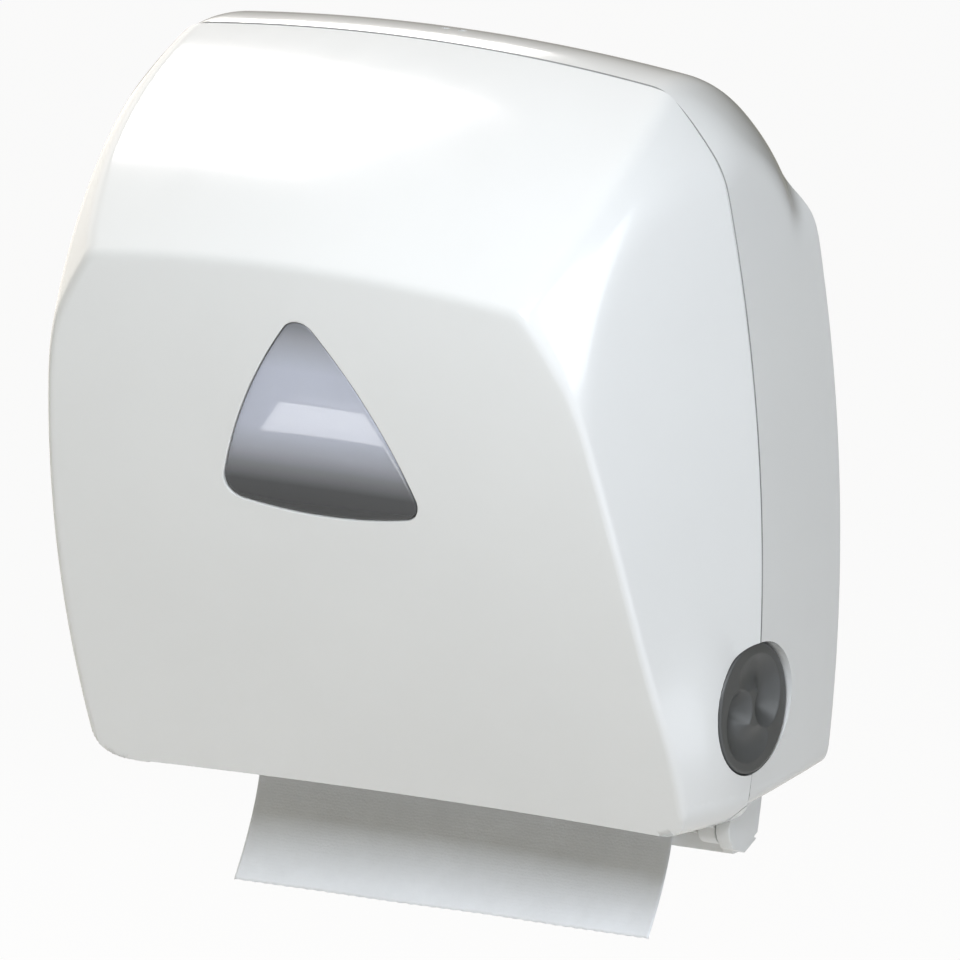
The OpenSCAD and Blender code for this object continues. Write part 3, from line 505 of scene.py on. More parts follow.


# Painted light and shade on the lens from its foot to its tip, dark at the foot and tip and light in the
# middle: height in millimetres, opacity and its colour
LENS_LIGHT_AND_SHADE = (
    (-30, 0.92, (0.05, 0.052, 0.055)),
    (-20, 0.88, (0.07, 0.073, 0.078)),
    (-12, 0.76, (0.25, 0.257, 0.28)),
    (-4, 0.66, (0.5, 0.52, 0.59)),
    (6, 0.6, (0.7, 0.735, 0.86)),
    (34, 0.6, (0.7, 0.735, 0.86)),
    (47, 0.64, (0.5, 0.52, 0.58)),
    (60, 0.82, (0.14, 0.145, 0.155)),
)


def lens_material(name):
    """Smoked lens with painted light and shade: its opacity and colour change with height."""
    m, nt, b = material(name, (0.2, 0.21, 0.24), 0.02, Coat_Weight=0.3)
    heights = [stop[0] * MM for stop in LENS_LIGHT_AND_SHADE]
    low, high = heights[0], heights[-1]
    split = nt.nodes.new("ShaderNodeSeparateXYZ")
    nt.links.new(place(nt, (1, 1, 1 / (high - low)), (0, 0, -low / (high - low))), split.inputs["Vector"])
    opacity = [(stop[1],) * 3 for stop in LENS_LIGHT_AND_SHADE]
    tints = [stop[2] for stop in LENS_LIGHT_AND_SHADE]
    for socket, colors in (("Alpha", opacity), ("Base Color", tints)):
        tint = ramp(nt, split.outputs["Z"], colors[0], colors[-1])
        for height, color in zip(heights[1:-1], colors[1:-1]):
            stop = tint.node.color_ramp.elements.new((height - low) / (high - low))
            stop.color = (*color, 1)
        nt.links.new(tint, b.inputs[socket])
    bump(nt, noise(nt, 90, 2), 0.1, 0.00002)
    return m


smoke = lens_material("smoked_lens")
smoke_edge = moulded("smoked_edge", (0.07, 0.072, 0.075), 0.3)

# What each node of the part is made of
LOOK = (
    (white, "rear_housing lower_guide roll_arm_left roll_arm_right front_cover"),
    (natural, "web_guide chassis_left chassis_right cam_ring drum_shell drum_cap_left "
              "drum_cap_right pressure_arm latch_tongue"),
    (dark, "knob drum_crank drum_bush_left drum_bush_right knife_carrier knife_follower"),
    (steel, "chassis_screws drum_shaft assist_spring spring_post knife_blade knife_pins "
            "pressure_pins pressure_axle arm_pins latch_spring hinge_pins"),
    (rubber, "grip_bands pressure_sleeves"),
    (card, "roll_core"),
    (tissue, "paper_roll towel"),
    (smoke, "window_lens"),
)
for look, names in LOOK:
    for name in names.split():
        nodes[name].data.materials.clear()
        nodes[name].data.materials.append(look)


# Window outline: three bowed sides with rounded corners

def window_outline(grow):
    half_w = WIN_W / 2 + WIN_CORNER / 2
    tips = [np.array(p) for p in ((0, WIN_H / 2 + WIN_CORNER), (-half_w, -WIN_H / 2), (half_w, -WIN_H / 2))]
    sides = [arc(tips[i], tips[(i + 1) % 3], WIN_BULGE) for i in range(3)]
    inner = []
    for i in range(3):
        (c0, r0), (c1, r1) = sides[i - 1], sides[i]
        r0, r1 = r0 - WIN_CORNER, r1 - WIN_CORNER
        d = np.linalg.norm(c1 - c0)
        a = (r0 * r0 - r1 * r1 + d * d) / (2 * d)
        u = (c1 - c0) / d
        off = math.sqrt(r0 * r0 - a * a) * np.array([-u[1], u[0]])
        inner.append(min((c0 + a * u + off, c0 + a * u - off), key=lambda q: np.linalg.norm(q - tips[i])))
    corner_steps, side_steps = 60, 200
    pts = []

    def sweep(c, r, start, end, n):
        a0, a1 = (math.atan2(v[1], v[0]) for v in (start - c, end - c))
        turn = (a1 - a0 + math.pi) % (2 * math.pi) - math.pi
        pts.append(polar(c, r, a0 + turn * np.arange(n) / n))

    for i in range(3):
        c_prev, c_next = sides[i - 1][0], sides[i][0]
        v, w = inner[i], inner[(i + 1) % 3]
        sweep(v, WIN_CORNER + grow, 2 * v - c_prev, 2 * v - c_next, corner_steps)
        sweep(c_next, sides[i][1] + grow, v, w, side_steps)
    return np.concatenate(pts)


LEAN = math.radians(105)
WIN_Y = FRONT_C[0] - math.sqrt(FRONT_R ** 2 - (WIN_Z - FRONT_C[1]) ** 2)
WIN_UP = np.array([0, math.cos(LEAN), math.sin(LEAN)])
WIN_OUT = np.array([0, -math.sin(LEAN), math.cos(LEAN)])


def on_front(flat, t):
    """Points of the window's plane, moved to the cover's form."""
    reach = 45
    base = np.array([WIN_X, WIN_Y, WIN_Z]) + flat[:, :1] * np.array([1.0, 0, 0]) + flat[:, 1:] * WIN_UP
    return solve(cover_form, base - reach * WIN_OUT, np.broadcast_to(WIN_OUT, base.shape), t, 2 * reach)


def by_angle(outline, angles):
    """Points of a closed outline at angles round the origin."""
    a = np.arctan2(outline[:, 1], outline[:, 0])
    order = np.argsort(a)
    a, o = a[order], outline[order]
    a = np.concatenate([a[-1:] - 2 * math.pi, a, a[:1] + 2 * math.pi])
    o = np.concatenate([o[-1:], o, o[:1]])
    angles = (angles + math.pi) % (2 * math.pi) - math.pi
    return np.stack([np.interp(angles, a, o[:, i]) for i in range(2)], axis=1)


# Cover: one skin from the seam over the creases to the window

EYE = np.array([0, SEAM - SEAM_GAP / 2, -5.0])


def on_side(t, y, z, sign):
    """Points of the cover's side at given depths and heights."""
    start = np.stack([np.zeros_like(y), y, z], axis=-1)
    return solve(cover_form, start, np.broadcast_to(np.array([sign, 0.0, 0]), start.shape), t, 260)


def cover_rim(t, sign):
    """Rim of one side from the top centre to the bottom centre, as dense polylines."""
    y0 = EYE[1]
    a = np.radians(np.linspace(90, 20, 900))
    upper = solve(cover_form, EYE, np.stack([sign * np.cos(a), 0 * a, np.sin(a)], axis=-1), t)
    from_a = math.acos((y0 - HINGE[0]) / HINGE_CLEAR)
    to_a = math.pi - math.asin((-DROP - HINGE[1]) / HINGE_CLEAR)
    z = np.linspace(upper[-1, 2], HINGE[1] + HINGE_CLEAR * math.sin(from_a), 500)[1:]
    seam = np.concatenate([upper, on_side(t, np.full_like(z, y0), z, sign)])
    ear = polar(HINGE, HINGE_CLEAR, np.linspace(from_a, to_a, 200))
    down = np.radians(np.linspace(0, -90, 1600))
    foot = np.array([0, ear[-1, 0], -DROP + 0.001])
    bottom = solve(cover_form, foot, np.stack([sign * np.cos(down), np.sin(down), 0 * down], axis=-1), t)
    return [seam, on_side(t, ear[:, 0], ear[:, 1], sign), bottom]


def cover_loops(step):
    """Matching outer and inner rim points, right side down and left side up."""
    outer, inner = [], []
    for sign in (1, -1):
        o_pts, i_pts = [], []
        for o, i in zip(cover_rim(0.0, sign), cover_rim(WALL, sign)):
            even = resample(o, step)
            along = np.concatenate([[0], np.cumsum(np.linalg.norm(np.diff(i, axis=0), axis=1))])
            at = np.linspace(0, along[-1], len(even), endpoint=False)
            o_pts.append(even)
            i_pts.append(np.stack([np.interp(at, along, i[:, k]) for k in range(3)], axis=1))
        o_pts, i_pts = np.concatenate(o_pts + [o[-1:]]), np.concatenate(i_pts + [i[-1:]])
        if sign < 0:
            o_pts, i_pts = o_pts[::-1][1:-1], i_pts[::-1][1:-1]
        outer.append(o_pts)
        inner.append(i_pts)
    return np.concatenate(outer), np.concatenate(inner)


def rounded_edge(corner, along_a, along_b, r):
    """Three rows that round a corner between two directions."""
    return corner + r * along_a, corner + ROUND * r * (along_a + along_b), corner + r * along_b


def between(rim_way, lip_way, share, t=0.0):
    """Points of the cover's form at a share of the way from its rim to the window."""
    way = unit(rim_way * (1 - share)[..., None] + lip_way * share[..., None])
    return solve(cover_form, EYE, way, t)


def crease_share(rim_way, lip_way):
    """Share of the way at which the front face begins, evened out along the rim."""
    least, window = 0.12, 5
    lo, hi = np.zeros(len(rim_way)), np.ones(len(rim_way))
    for _ in range(24):
        mid = (lo + hi) / 2
        upper, front, side, facet = cover_faces(between(rim_way, lip_way, mid), 0.0)
        is_front = front > np.maximum(np.maximum(upper, side), facet)
        hi = np.where(is_front, mid, hi)
        lo = np.where(is_front, lo, mid)
    crease = np.maximum(hi, least)
    round_trip = np.concatenate([crease[-2:], crease, crease[:2]])
    return np.convolve(round_trip, np.ones(window) / window, "valid")


def cover_rows(rim_way, lip_way):
    """Rows of the outer face from the rim to the window, closer together at the crease."""
    crease = crease_share(rim_way, lip_way)
    side_rows, front_rows = (40, 44) if FINE else (14, 16)
    rows = []
    for u in np.linspace(0, 1, side_rows)[1:]:
        rows.append(between(rim_way, lip_way, crease * (1 - (1 - u) ** 1.5)))
    for u in np.linspace(0, 1, front_rows)[1:-1]:
        share = 0.25 * u + 0.75 * u ** 1.6
        rows.append(between(rim_way, lip_way, crease + (1 - crease) * share))
    return rows


def onto_cover(p):
    """Points moved to the cover's outer face."""
    return solve(cover_form, EYE, unit(p - EYE), 0.0)


def cover_skin():
    rim, rim_in = cover_loops(1.8 if FINE else 4.0)
    around = np.minimum.accumulate(np.unwrap(np.arctan2(rim[:, 2] - WIN_Z, rim[:, 0] - WIN_X)))
    flat = by_angle(window_outline(0.0), around)
    lip, lip_in = on_front(flat, 0.0), on_front(flat, WALL)
    rows = cover_rows(unit(rim - EYE), unit(lip - EYE))
    face, mid_edge, edge = rounded_edge(rim, unit(rim_in - rim), unit(rows[0] - rim), SEAM_EDGE)
    w_edge, w_mid, w_wall = rounded_edge(lip, unit(rows[-1] - lip), unit(lip_in - lip), WIN_EDGE)
    outer = [face, mid_edge, onto_cover(edge)] + rows + [onto_cover(w_edge), w_mid, w_wall, lip_in]
    m = Mesh()
    outside = [m.add(p) for p in outer]
    m.strip(outside)
    inside = []
    for s in np.linspace(1, 0, 40 if FINE else 22)[1:-1]:
        share = np.full(len(rim), s)
        inside.append(m.add(between(unit(rim_in - EYE), unit(lip_in - EYE), share, WALL)))
    rim_row = m.add(rim_in)
    m.strip([outside[-1]] + inside + [rim_row], mat=1)
    m.strip([rim_row, outside[0]])
    ob = m.object("cover_skin", [white, white_in])
    cut(ob, knob_cutter())
    shade(ob, 35, [(cover_form, 0.0, 1), (cover_form, WALL, -1)])
    piece(ob, "cover", "white_gloss", "front_cover")


def knob_cutter():
    """The knob's recess, through the side of the case."""
    m = Mesh()
    r = KNOB_R + KNOB_GAP
    m.lathe([(KNOB_BACK - KNOB_GAP, r), (CASE_HALF + 5, r)], DRUM, 160)
    return m.object("knob_cutter", [white])


def disc(c, r, start, end, n):
    """Points of an arc between two angles in degrees."""
    return [tuple(p) for p in polar(c, r, np.radians(np.linspace(start, end, n)))]


def both(build):
    """Builds a fitting at the right and its mirror at the left."""
    build(1)
    build(-1)


def cover_fittings():
    """Hinge tabs at the foot of the cover and the catch at its top."""
    m = Mesh()
    anchor, arm_top = SEAM - 18, -DROP + 16
    outline = disc(HINGE, BOSS_R, -190, 60, 30) + [
        (anchor + 8, arm_top), (anchor, arm_top), (anchor, 3 - DROP)]

    def tab(s):
        m.prism(outline, s * (TAB_X - TAB_T), s * TAB_X)
        m.block(s * (TAB_X - TAB_T + 0.6), s * (TAB_X + 1), anchor - 4, anchor + 7, 7 - DROP, arm_top - 0.6)

    both(tab)
    m.block(-CATCH_HALF, CATCH_HALF, SEAM - 13, BARB_Y + BARB_T, CATCH_Z, CATCH_Z + CATCH_T)
    m.block(-CATCH_HALF, CATCH_HALF, BARB_Y, BARB_Y + BARB_T, CATCH_Z - BARB_H, CATCH_Z)
    ob = m.object("cover_fittings", [white_in])
    bevel(ob, FITTING_EDGE)
    piece(ob, "cover", "white_gloss", "front_cover")


# Rear housing: one skin from the seam to the wall

def exit_cutter():
    """The opening in the underside for the towel."""
    over = 30
    m = Mesh()
    m.block(-EXIT_HALF, EXIT_HALF, SEAM - over, -EXIT_BACK, -DROP - over, over - DROP)
    return m.object("exit", [white_in])


def slot_cutter():
    """Notches for the cover's hinge tabs and the two key slots in the top."""
    m = Mesh()

    def notch(s):
        m.block(s * (EXIT_HALF - 1), s * (TAB_X + 0.4), SEAM - 10, HINGE[0] + 4, -DROP - 10, 20 - DROP)

    def key_slot(s):
        near, far = s * (KEY_X - KEY_W / 2), s * (KEY_X + KEY_W / 2)
        m.block(near, far, KEY_Y, KEY_Y + KEY_W, CATCH_Z + 3, TOP + 10)

    both(notch)
    both(key_slot)
    return m.object("slots", [white_in])


def hole_cutter():
    """The four screw holes in the back."""
    m = Mesh()
    around = np.linspace(0, 2 * math.pi, 40, endpoint=False)
    for x in (-HOLE_X, HOLE_X):
        for z in (-HOLE_Z, HOLE_Z):
            flat = polar((x, z), HOLE_R, around)
            ends = [m.add([(px, y, pz) for px, pz in flat]) for y in (-10, 5)]
            m.strip(ends)
            m.face(ends[0])
            m.face(ends[1][::-1])
    return m.object("holes", [white_in])


def housing_skin():
    seam_y = SEAM + SEAM_GAP / 2
    a = np.linspace(0, 2 * math.pi, 4000)
    mid = np.array([0, 0, -10.0])

    def ring(angles, y, t):
        way = np.stack([np.cos(angles), 0 * angles, np.sin(angles)], axis=-1)
        return solve(housing_form, mid + np.array([0, y, 0]), way, t, 300)

    outline = resample(ring(a, seam_y, 0.0), 1.8 if FINE else 5.0)
    a = np.arctan2(outline[:, 2] - mid[2], outline[:, 0])
    depth = np.linspace(seam_y + SEAM_EDGE, -1.0, 46 if FINE else 20)
    m = Mesh()
    edge_mid = ROUND * SEAM_EDGE
    outside = [m.add(ring(a, seam_y, SEAM_EDGE)), m.add(ring(a, seam_y + edge_mid, edge_mid))]
    outside += [m.add(ring(a, y, 0.0)) for y in depth]
    outside += [m.add(ring(a, -0.3, 0.3)), m.add(ring(a, 0.0, 1.0))]
    inside = [m.add(ring(a, y, WALL)) for y in np.linspace(-WALL, seam_y, 26)]
    line = m.add(ring(a, seam_y, SEAM_LINE))
    m.strip(outside[2:])
    # The housing's edge rows and rim face at the seam get the dark painted shade in place of the shadow in
    # the seam gap
    m.strip([line] + outside[:3], mat=2)
    m.cap(outside[-1])
    m.strip(inside, mat=1)
    m.cap(inside[0], mat=1)
    m.strip([inside[-1], line])
    ob = m.object("housing_skin", [white, white_in, seam_shade])
    cut(ob, knob_cutter(), exit_cutter(), slot_cutter(), hole_cutter())
    shade(ob, 35, [(housing_form, 0.0, 1), (housing_form, WALL, -1)])
    piece(ob, "housing", "white_gloss", "rear_housing")


def housing_fittings():
    """Hinge ears, lugs of the roll arms and the shelf of the latch spring."""
    m = Mesh()
    y0, z0 = HINGE
    ear_r = BOSS_R + 0.5
    boss = disc(HINGE, ear_r, 150, 320, 32)
    root = [(y0 + 30, FLOOR_STEP + 4.5 - DROP), (y0 - 5, FLOOR_STEP + 2 - DROP)]
    hook = disc(HINGE, ear_r, 150, 225, 16) + [
        (y0 - 4.5, z0 - 8), (y0 + 5, z0 - 11.5), (y0 + 15, z0 - 7.5), (y0 + 13, z0 - 6.2), (y0 + 16, z0 - 5),
        (y0 + 20, FLOOR_STEP + 3 - DROP)]
    sunk = 0.5 - WALL
    lug_out, lug_half_w, lug_half_h = 21.4, 5, 3

    def side(s):
        m.prism((hook if s > 0 else boss) + root, s * EAR_X, s * (EAR_X + EAR_T + 0.6))
        for up in (-1, 1):
            z = ROLL[1] + up * lug_out
            near, far = s * (KNUCKLE[0] - lug_half_w), s * (KNUCKLE[0] + lug_half_w)
            m.block(near, far, KNUCKLE[1] - 4, sunk, z - lug_half_h, z + lug_half_h)

    both(side)
    m.block(-16, 16, STEM_Y - 8, sunk, SHELF_Z, SHELF_Z + 3)
    ob = m.object("housing_fittings", [white_in])
    bevel(ob, FITTING_EDGE)
    piece(ob, "housing", "white_gloss", "rear_housing")


def knob_cup():
    """The wall round the knob's recess, from the housing's side inward."""
    m = Mesh()
    a = np.radians(np.linspace(-89, 89, 90))
    r_in, r_out = KNOB_R + KNOB_GAP, KNOB_R + KNOB_GAP + 2
    depth = 1.2
    rows = []
    for x, r in ((KNOB_BACK, r_in), (CASE_HALF, r_in), (CASE_HALF, r_out), (KNOB_BACK, r_out)):
        yz = polar(DRUM, r, a)
        pts = np.stack([np.full(len(a), x), yz[:, 0], yz[:, 1]], axis=-1)
        if x == CASE_HALF:
            start = pts * np.array([0, 1, 1.0])
            out = np.broadcast_to(np.array([1.0, 0, 0]), pts.shape)
            pts = solve(housing_form, start, out, depth, 260)
        rows.append(m.add(pts))
    m.strip(rows + rows[:1], closed=False)
    m.face([r[0] for r in rows])
    m.face([r[-1] for r in rows][::-1])
    piece(m.object("knob_cup", [white_in]), "housing", "white_gloss", "rear_housing")


def hinge_patches():
    """Pieces of the housing that carry the cover's side on round the hinge."""
    m = Mesh()
    from_a, to_a = math.radians(116.7), math.radians(167.6)
    front = polar(HINGE, HINGE_CLEAR - SEAM_GAP, np.linspace(from_a, to_a, 16))
    across = np.linspace(0, 1, 6)[:, None]
    y = front[:, 0] + (SEAM + 1 - front[:, 0]) * across
    z = np.broadcast_to(front[:, 1], y.shape)

    def side(s):
        skins = [m.add(on_side(t, y, z, s)) for t in (0.0, WALL)]
        for skin in skins:
            m.strip(list(skin), closed=False)
        loops = [np.concatenate([k[0], k[1:, -1], k[-1, -2::-1], k[-2:0:-1, 0]]) for k in skins]
        m.strip(loops)

    both(side)
    piece(m.object("hinge_patches", [white]), "housing", "white_gloss", "rear_housing")


# Springs: copies of both springs in place of their nodes; the latch spring's copy goes on the housing

def springs():
    latch = bpy.data.objects.new("latch_coil", nodes["latch_spring"].data.copy())
    assist = bpy.data.objects.new("assist_coil", nodes["assist_spring"].data.copy())
    for ob in (latch, assist):
        scene.collection.objects.link(ob)
        shade(ob, 60)
    piece(latch, "housing", "steel", "latch_spring")
    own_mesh(latch)
    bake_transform(assist)
    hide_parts("assist_spring")


# Chute: the exit lip, cut back at the left and held there by a short arm under the web guide

def welded_copy(name):
    """A copy of a node's mesh with its doubled vertices joined."""
    me = nodes[name].data.copy()
    bm = bmesh.new()
    bm.from_mesh(me)
    bmesh.ops.remove_doubles(bm, verts=bm.verts, dist=0.001 * MM)
    bm.to_mesh(me)
    bm.free()
    return me


def exit_lip():
    ob = bpy.data.objects.new("exit_lip", welded_copy("lower_guide"))
    scene.collection.objects.link(ob)
    m = Mesh()
    m.block(-EXIT_HALF - 10, LIP_END, SEAM - 20, 10, -DROP - 60, -DROP + 6)
    cut(ob, m.object("lip_cutter", [white]))
    shade(ob, 35)
    bevel(ob, 0.4)
    piece(ob, "housing", "white_gloss", "lower_guide")


def exit_lip_arm():
    lip_back, lip_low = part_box("lower_guide")[1][1] / MM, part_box("lower_guide")[0][2] / MM
    guide_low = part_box("web_guide")[0][2] / MM
    m = Mesh()
    m.block(LIP_END + 0.3, LIP_END + LIP_ARM, lip_back - LIP_ARM, lip_back - 0.6, lip_low + 3, guide_low + 1)
    ob = m.object("exit_lip_arm", [white])
    bevel(ob, FITTING_EDGE)
    piece(ob, "housing", "white_gloss", "lower_guide")


# Sight glass: smoked plug with a glued border behind the cover

def lens():
    m = Mesh()
    plug, border = window_outline(-LENS_GAP), window_outline(LENS_BORDER)
    ring = np.arange(0, len(plug), 4 if FINE else 12)
    plug, border = plug[ring], border[ring]
    shares = np.linspace(0.03, 0.97, 22 if FINE else 10)
    rows = [on_front(plug * s, LENS_SINK) for s in shares]
    for b in np.radians(np.linspace(15, 90, 6)):
        inset = 1 - 0.03 * (1 - math.sin(b))
        rows.append(on_front(plug * inset, LENS_SINK + LENS_EDGE * (1 - math.cos(b))))
    clear = len(rows) - 2
    rows.append(on_front(plug, WALL))
    rows += [on_front(border, WALL), on_front(border, WALL + LENS_T)]
    rows += [on_front(border * s, WALL + LENS_T) for s in shares[::-2]]
    ids = [m.add(r) for r in rows]
    m.strip(ids[:clear])
    m.strip(ids[clear - 1:clear + 5], mat=1)
    m.strip(ids[clear + 4:])
    m.cap(ids[0])
    m.cap(ids[-1])
    ob = m.object("sight_glass", [smoke, smoke_edge], sharp=60)
    return piece(ob, "cover", "smoked_lens", "window_lens")


# Knob: a disc with two comma-shaped finger dishes round an S-shaped ridge

DISH_START, DISH_TURN = math.radians(88), math.radians(112)
DISH_OUT, DISH_NEARER = 15.4, 4.2
DISH_WIDE, DISH_NARROWS = 10.4, 3.4
DISH_DEEP, DISH_RISES, DISH_BOWL = 6.6, 5.4, 1.35


def dish(r, a):
    """Depth of the two dishes round one circle of the face."""
    u = np.linspace(0, 1, 48)
    turn = DISH_START + DISH_TURN * u
    arm = DISH_OUT - DISH_NEARER * (1 - np.minimum(u / 0.5, 1)) ** 2
    wide = DISH_WIDE - DISH_NARROWS * u
    deep = DISH_DEEP - DISH_RISES * u
    depth = np.zeros(len(a))
    for half in (0, math.pi):
        for k in range(len(u)):
            far = r * r + arm[k] ** 2 - 2 * r * arm[k] * np.cos(a - turn[k] - half)
            bowl = np.maximum(1 - far / wide[k] ** 2, 0) ** DISH_BOWL
            depth = np.maximum(depth, deep[k] * bowl)
    return depth


def knob():
    r_count, a_count = (90, 240) if FINE else (36, 120)
    a = np.linspace(0, 2 * math.pi, a_count, endpoint=False)
    m = Mesh()

    def circle(x, r):
        return m.add(np.stack([x + 0 * a, DRUM[0] + r * np.sin(a), DRUM[1] - r * np.cos(a)], axis=-1))

    rows = [circle(KNOB_FACE - dish(r, a), r) for r in np.linspace(0.6, KNOB_R - KNOB_EDGE, r_count)]
    for b in np.radians((67, 45, 22, 0)):
        rows.append(circle(KNOB_FACE - KNOB_EDGE * (1 - math.sin(b)), KNOB_R - KNOB_EDGE * (1 - math.cos(b))))
    back = ((KNOB_BACK + HUB_EDGE, KNOB_R), (KNOB_BACK, KNOB_R - HUB_EDGE), (KNOB_BACK, HUB_R + HUB_EDGE),
            (KNOB_BACK - HUB_EDGE, HUB_R), (HUB_END + HUB_EDGE, HUB_R), (HUB_END, HUB_R - HUB_EDGE))
    rows += [circle(x, r) for x, r in back]
    m.strip(rows)
    m.cap(rows[0])
    m.cap(rows[-1])
    piece(m.object("hand_knob", [dark], sharp=60), "drum", "dark_plastic", "knob")


# Paper web: off the roll, under the pressure roller, over the drum and down behind it

WEB_T, FREE, PRESS_R, NIP = 0.4, 0.4, 9.0, math.radians(120)
TAIL_FORWARD, TAIL_DROP, TAIL_START, LEAD_SLACK = 22.0, 221.0, -DROP - 8, 1.4
ROLL_WRAP = math.radians(75)
WAVE, RIPPLE, TEETH, TOOTH, SHEET_T = 0.6, 0.35, 0.35, 2.5, 0.3


def web_path():
    """The web's route in depth and height, from the roll to the torn edge."""
    roll_wrap, drum_wrap = ROLL_R + FREE + WEB_T / 2, DRUM_R + 2 * FREE + WEB_T / 2
    press_wrap = PRESS_R + FREE + WEB_T / 2
    press = polar(DRUM, DRUM_R + 3 * FREE + WEB_T + PRESS_R, NIP)
    d = press - ROLL
    lead = math.atan2(d[1], d[0]) - math.acos((roll_wrap - press_wrap - LEAD_SLACK) / np.linalg.norm(d))
    turn = (NIP - math.pi - lead) % (2 * math.pi)
    u = np.linspace(0, 1, 40)
    t = np.linspace(0, 1, 60)
    tail_y = DRUM[0] + drum_wrap - TAIL_FORWARD * t ** 1.6
    tail_z = TAIL_START - (TAIL_DROP + TAIL_START) * t
    tail = np.stack([tail_y, tail_z], axis=-1)
    path = np.concatenate([
        polar(ROLL, roll_wrap, lead - ROLL_WRAP * (1 - u)),
        polar(press, press_wrap + LEAD_SLACK * (1 - u), lead + turn * u),
        polar(DRUM, drum_wrap, NIP * (1 - u[1:])), tail])
    return np.concatenate([resample(path, 1.5 if FINE else 6.0), path[-1:]])


def towel():
    path = web_path()
    x = np.linspace(-PAPER_W / 2, PAPER_W / 2, 161 if FINE else 41)
    hang = np.clip((TAIL_START - path[:, 1]) / (TAIL_DROP + TAIL_START), 0, 1)
    m = Mesh()
    rows = []
    for (y, z), h in zip(path, hang):
        wave = WAVE * h * np.sin(x / 31 + 0.7) + RIPPLE * h * np.sin(x / 13)
        teeth = TEETH * np.abs((x / TOOTH) % 2 - 1) if h == 1 else 0
        rows.append(m.add(np.stack([x, y + wave, z - teeth + 0 * x], axis=-1)))
    m.strip(rows, closed=False)
    ob = m.object("paper_web", [tissue], sharp=80)
    thick = ob.modifiers.new("paper", "SOLIDIFY")
    thick.thickness, thick.offset = SHEET_T * MM, 0
    piece(ob, "housing", "paper", "towel")


def roll():
    m = Mesh()
    half, edge = PAPER_W / 2, 0.8
    profile = [(-half, CORE_R), (-half, ROLL_R - edge), (-half + edge, ROLL_R)]
    profile += [(-x, r) for x, r in profile[::-1]]
    m.lathe(profile, ROLL, 160, closed=True)
    ob = m.object("wound_paper", [tissue, wound], sharp=50)
    for face in ob.data.polygons:
        face.material_index = int(abs(face.normal.x) > 0.9)
    piece(ob, "roll", "paper", "paper_roll")


def core():
    m = Mesh()
    half, bore = PAPER_W / 2, CORE_R - CORE_WALL
    m.lathe([(-half, bore), (-half, CORE_R), (half, CORE_R), (half, bore)], ROLL, 120, closed=True)
    piece(m.object("card_tube", [card], sharp=50), "roll", "card", "roll_core")


# Camera: the photograph shows no perspective

AZIMUTH, ELEVATION = math.radians(30), math.radians(14.6)
PX_PER_MM, FRAME_PX = 2.385, 960
AIM_RIGHT, AIM_UP, CAMERA_FAR = -12.45 * MM, -46.8 * MM, 2.0


def camera():
    right = Vector((math.cos(AZIMUTH), math.sin(AZIMUTH), 0))
    level = math.cos(ELEVATION)
    look = Vector((-math.sin(AZIMUTH) * level, math.cos(AZIMUTH) * level, -math.sin(ELEVATION)))
    up = right.cross(look)
    data = bpy.data.cameras.new("camera")
    data.type = "ORTHO"
    data.ortho_scale = FRAME_PX / PX_PER_MM * MM
    data.clip_end = 50
    ob = bpy.data.objects.new("camera", data)
    scene.collection.objects.link(ob)
    ob.location = right * AIM_RIGHT + up * AIM_UP - look * CAMERA_FAR
    ob.rotation_euler = look.to_track_quat("-Z", "Y").to_euler()
    scene.camera = ob


# Floor and background, in metres

FLOOR_Z, FLOOR_HALF = -0.62, 6
FLOOR_GLOW, WORLD_STRENGTH = 0.94, 0.352


def seen_white(nt, plain, bright, out):
    """One shader where the camera looks, also through glass, and another for the light."""
    path = nt.nodes.new("ShaderNodeLightPath")
    either = nt.nodes.new("ShaderNodeMath")
    either.operation = "MAXIMUM"
    nt.links.new(path.outputs["Is Camera Ray"], either.inputs[0])
    nt.links.new(path.outputs["Is Transmission Ray"], either.inputs[1])
    mix = nt.nodes.new("ShaderNodeMixShader")
    nt.links.new(either.outputs[0], mix.inputs["Fac"])
    nt.links.new(plain, mix.inputs[1])
    nt.links.new(bright, mix.inputs[2])
    nt.links.new(mix.outputs[0], nt.nodes[out].inputs["Surface"])


def floor_material(name):
    """Pale floor that is nearly white where it is seen and keeps a faint shadow."""
    m, nt, b = material(name, (0.86, 0.86, 0.86), 0.9)
    glow = nt.nodes.new("ShaderNodeEmission")
    lit = nt.nodes.new("ShaderNodeMixShader")
    lit.inputs["Fac"].default_value = FLOOR_GLOW
    nt.links.new(b.outputs[0], lit.inputs[1])
    nt.links.new(glow.outputs[0], lit.inputs[2])
    seen_white(nt, b.outputs[0], lit.outputs[0], "Material Output")
    return m


def floor():
    ways = ((-1, -1), (1, -1), (1, 1), (-1, 1))
    me = bpy.data.meshes.new("floor")
    me.from_pydata([(x * FLOOR_HALF, y * FLOOR_HALF, FLOOR_Z) for x, y in ways], [], [(0, 1, 2, 3)])
    me.materials.append(floor_material("pale_floor"))
    floor_ob = bpy.data.objects.new("floor", me)
    scene.collection.objects.link(floor_ob)


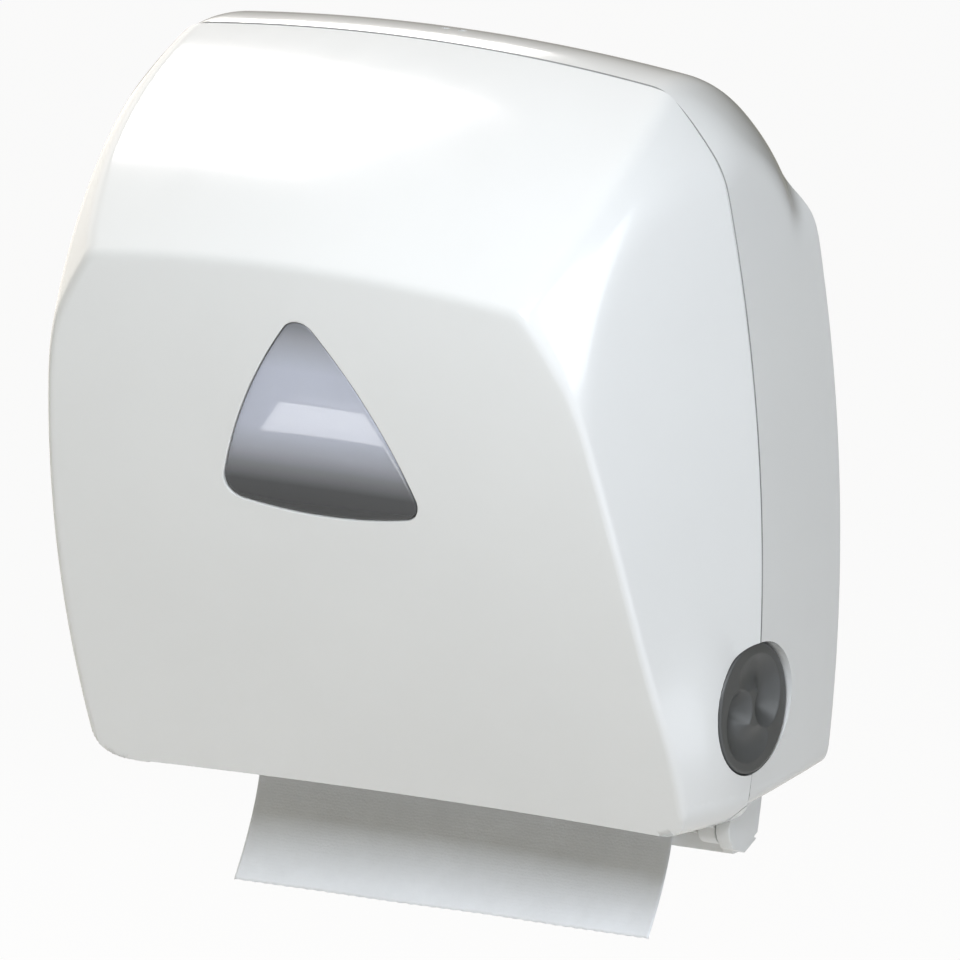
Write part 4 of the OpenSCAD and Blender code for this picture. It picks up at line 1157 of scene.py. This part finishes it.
def background():
    """White where the camera looks. Its light is warm, and stronger from the front than from behind."""
    world = bpy.data.worlds.new("world")
    scene.world = world
    world.use_nodes = True
    nt = world.node_tree
    light = nt.nodes["Background"]
    light.inputs["Strength"].default_value = WORLD_STRENGTH
    around = nt.nodes.new("ShaderNodeTexCoord")
    split = nt.nodes.new("ShaderNodeSeparateXYZ")
    nt.links.new(around.outputs["Generated"], split.inputs["Vector"])
    half = nt.nodes.new("ShaderNodeMath")
    half.operation = "MULTIPLY_ADD"
    half.inputs[1].default_value = half.inputs[2].default_value = 0.5
    nt.links.new(split.outputs["Y"], half.inputs[0])
    in_front, behind = (1.0, 0.94, 0.74), (0.32, 0.3, 0.25)
    nt.links.new(ramp(nt, half.outputs[0], in_front, behind, (0.25, 0.85)), light.inputs["Color"])
    backdrop = nt.nodes.new("ShaderNodeBackground")
    backdrop.inputs["Color"].default_value = (1, 1, 1, 1)
    seen_white(nt, light.outputs[0], backdrop.outputs[0], "World Output")


# Lights, in metres and watts

CENTRE = Vector((0, -0.1, 0.05))


def area(name, way, far, size, power, color=(1, 1, 1), side=(1, 0, 0)):
    """A softbox in a direction from the part, facing it, with its width along a given side."""
    data = bpy.data.lights.new(name, "AREA")
    data.shape = "RECTANGLE"
    data.size, data.size_y = size
    data.energy = power
    data.color = color
    ob = bpy.data.objects.new(name, data)
    scene.collection.objects.link(ob)
    back = Vector(way).normalized()
    ob.location = CENTRE + back * far
    across = Vector(side) - back * back.dot(Vector(side))
    across.normalize()
    ob.rotation_euler = Matrix((across, back.cross(across), back)).transposed().to_euler()
    return ob


def right_lights():
    """Two softboxes at the right: one is only reflected, the other only lights."""
    along = (0.1, 0.95, 0)
    shine = area("softbox_right", (0.941, -0.141, 0.309), 1.6, (0.98, 0.9), 7.8, (0.9, 0.95, 1.0), along)
    shine.visible_diffuse = False
    fill = area("fill_right", (0.95, -0.1, 0.27), 1.6, (0.64, 0.8), 4.7, (0.77, 0.85, 1.0), along)
    fill.visible_glossy = False
    area("fill_low", (0.9, -0.1, -0.4), 0.75, (0.5, 0.3), 0.42, (0.85, 0.9, 1.0), along)


def studio_lights():
    area("softbox_top", (-0.612, 0.152, 0.776), 1.5, (0.5, 0.68), 9.4, (1.0, 0.95, 0.95), (-0.5, -0.87, 0))
    area("softbox_left", (-0.88, 0.44, 0.1), 1.6, (1.6, 1.5), 8.5, (1.0, 0.965, 0.92), (-0.1, 0.95, 0))
    area("key_front", (0.4, -0.75, 0.53), 1.05, (0.5, 0.5), 9.3, (0.87, 0.92, 1.0))
    area("rim_back", (-0.55, 0.68, 0.48), 1.5, (0.5, 0.5), 6.5, (1.0, 0.97, 0.93))


def window_strip(glass):
    """A narrow lamp for the lens alone, moved aside from the direction that it faces."""
    strip = area("window_strip", (-0.37, -0.63, -0.65), 0.55, (0.15, 0.024), 0.06, side=(1, 0, -0.18))
    strip.location = Vector((-0.177, -0.452, -0.315))
    lit_by_strip = bpy.data.collections.new("lit_by_strip")
    lit_by_strip.objects.link(glass)
    strip.light_linking.receiver_collection = lit_by_strip


cover_skin()
cover_fittings()
housing_skin()
housing_fittings()
hinge_patches()
knob_cup()
springs()
exit_lip()
exit_lip_arm()
sight_glass = lens()
knob()
towel()
roll()
core()

camera()
floor()
background()
studio_lights()
right_lights()
window_strip(sight_glass)

scene.view_settings.view_transform = "Standard"
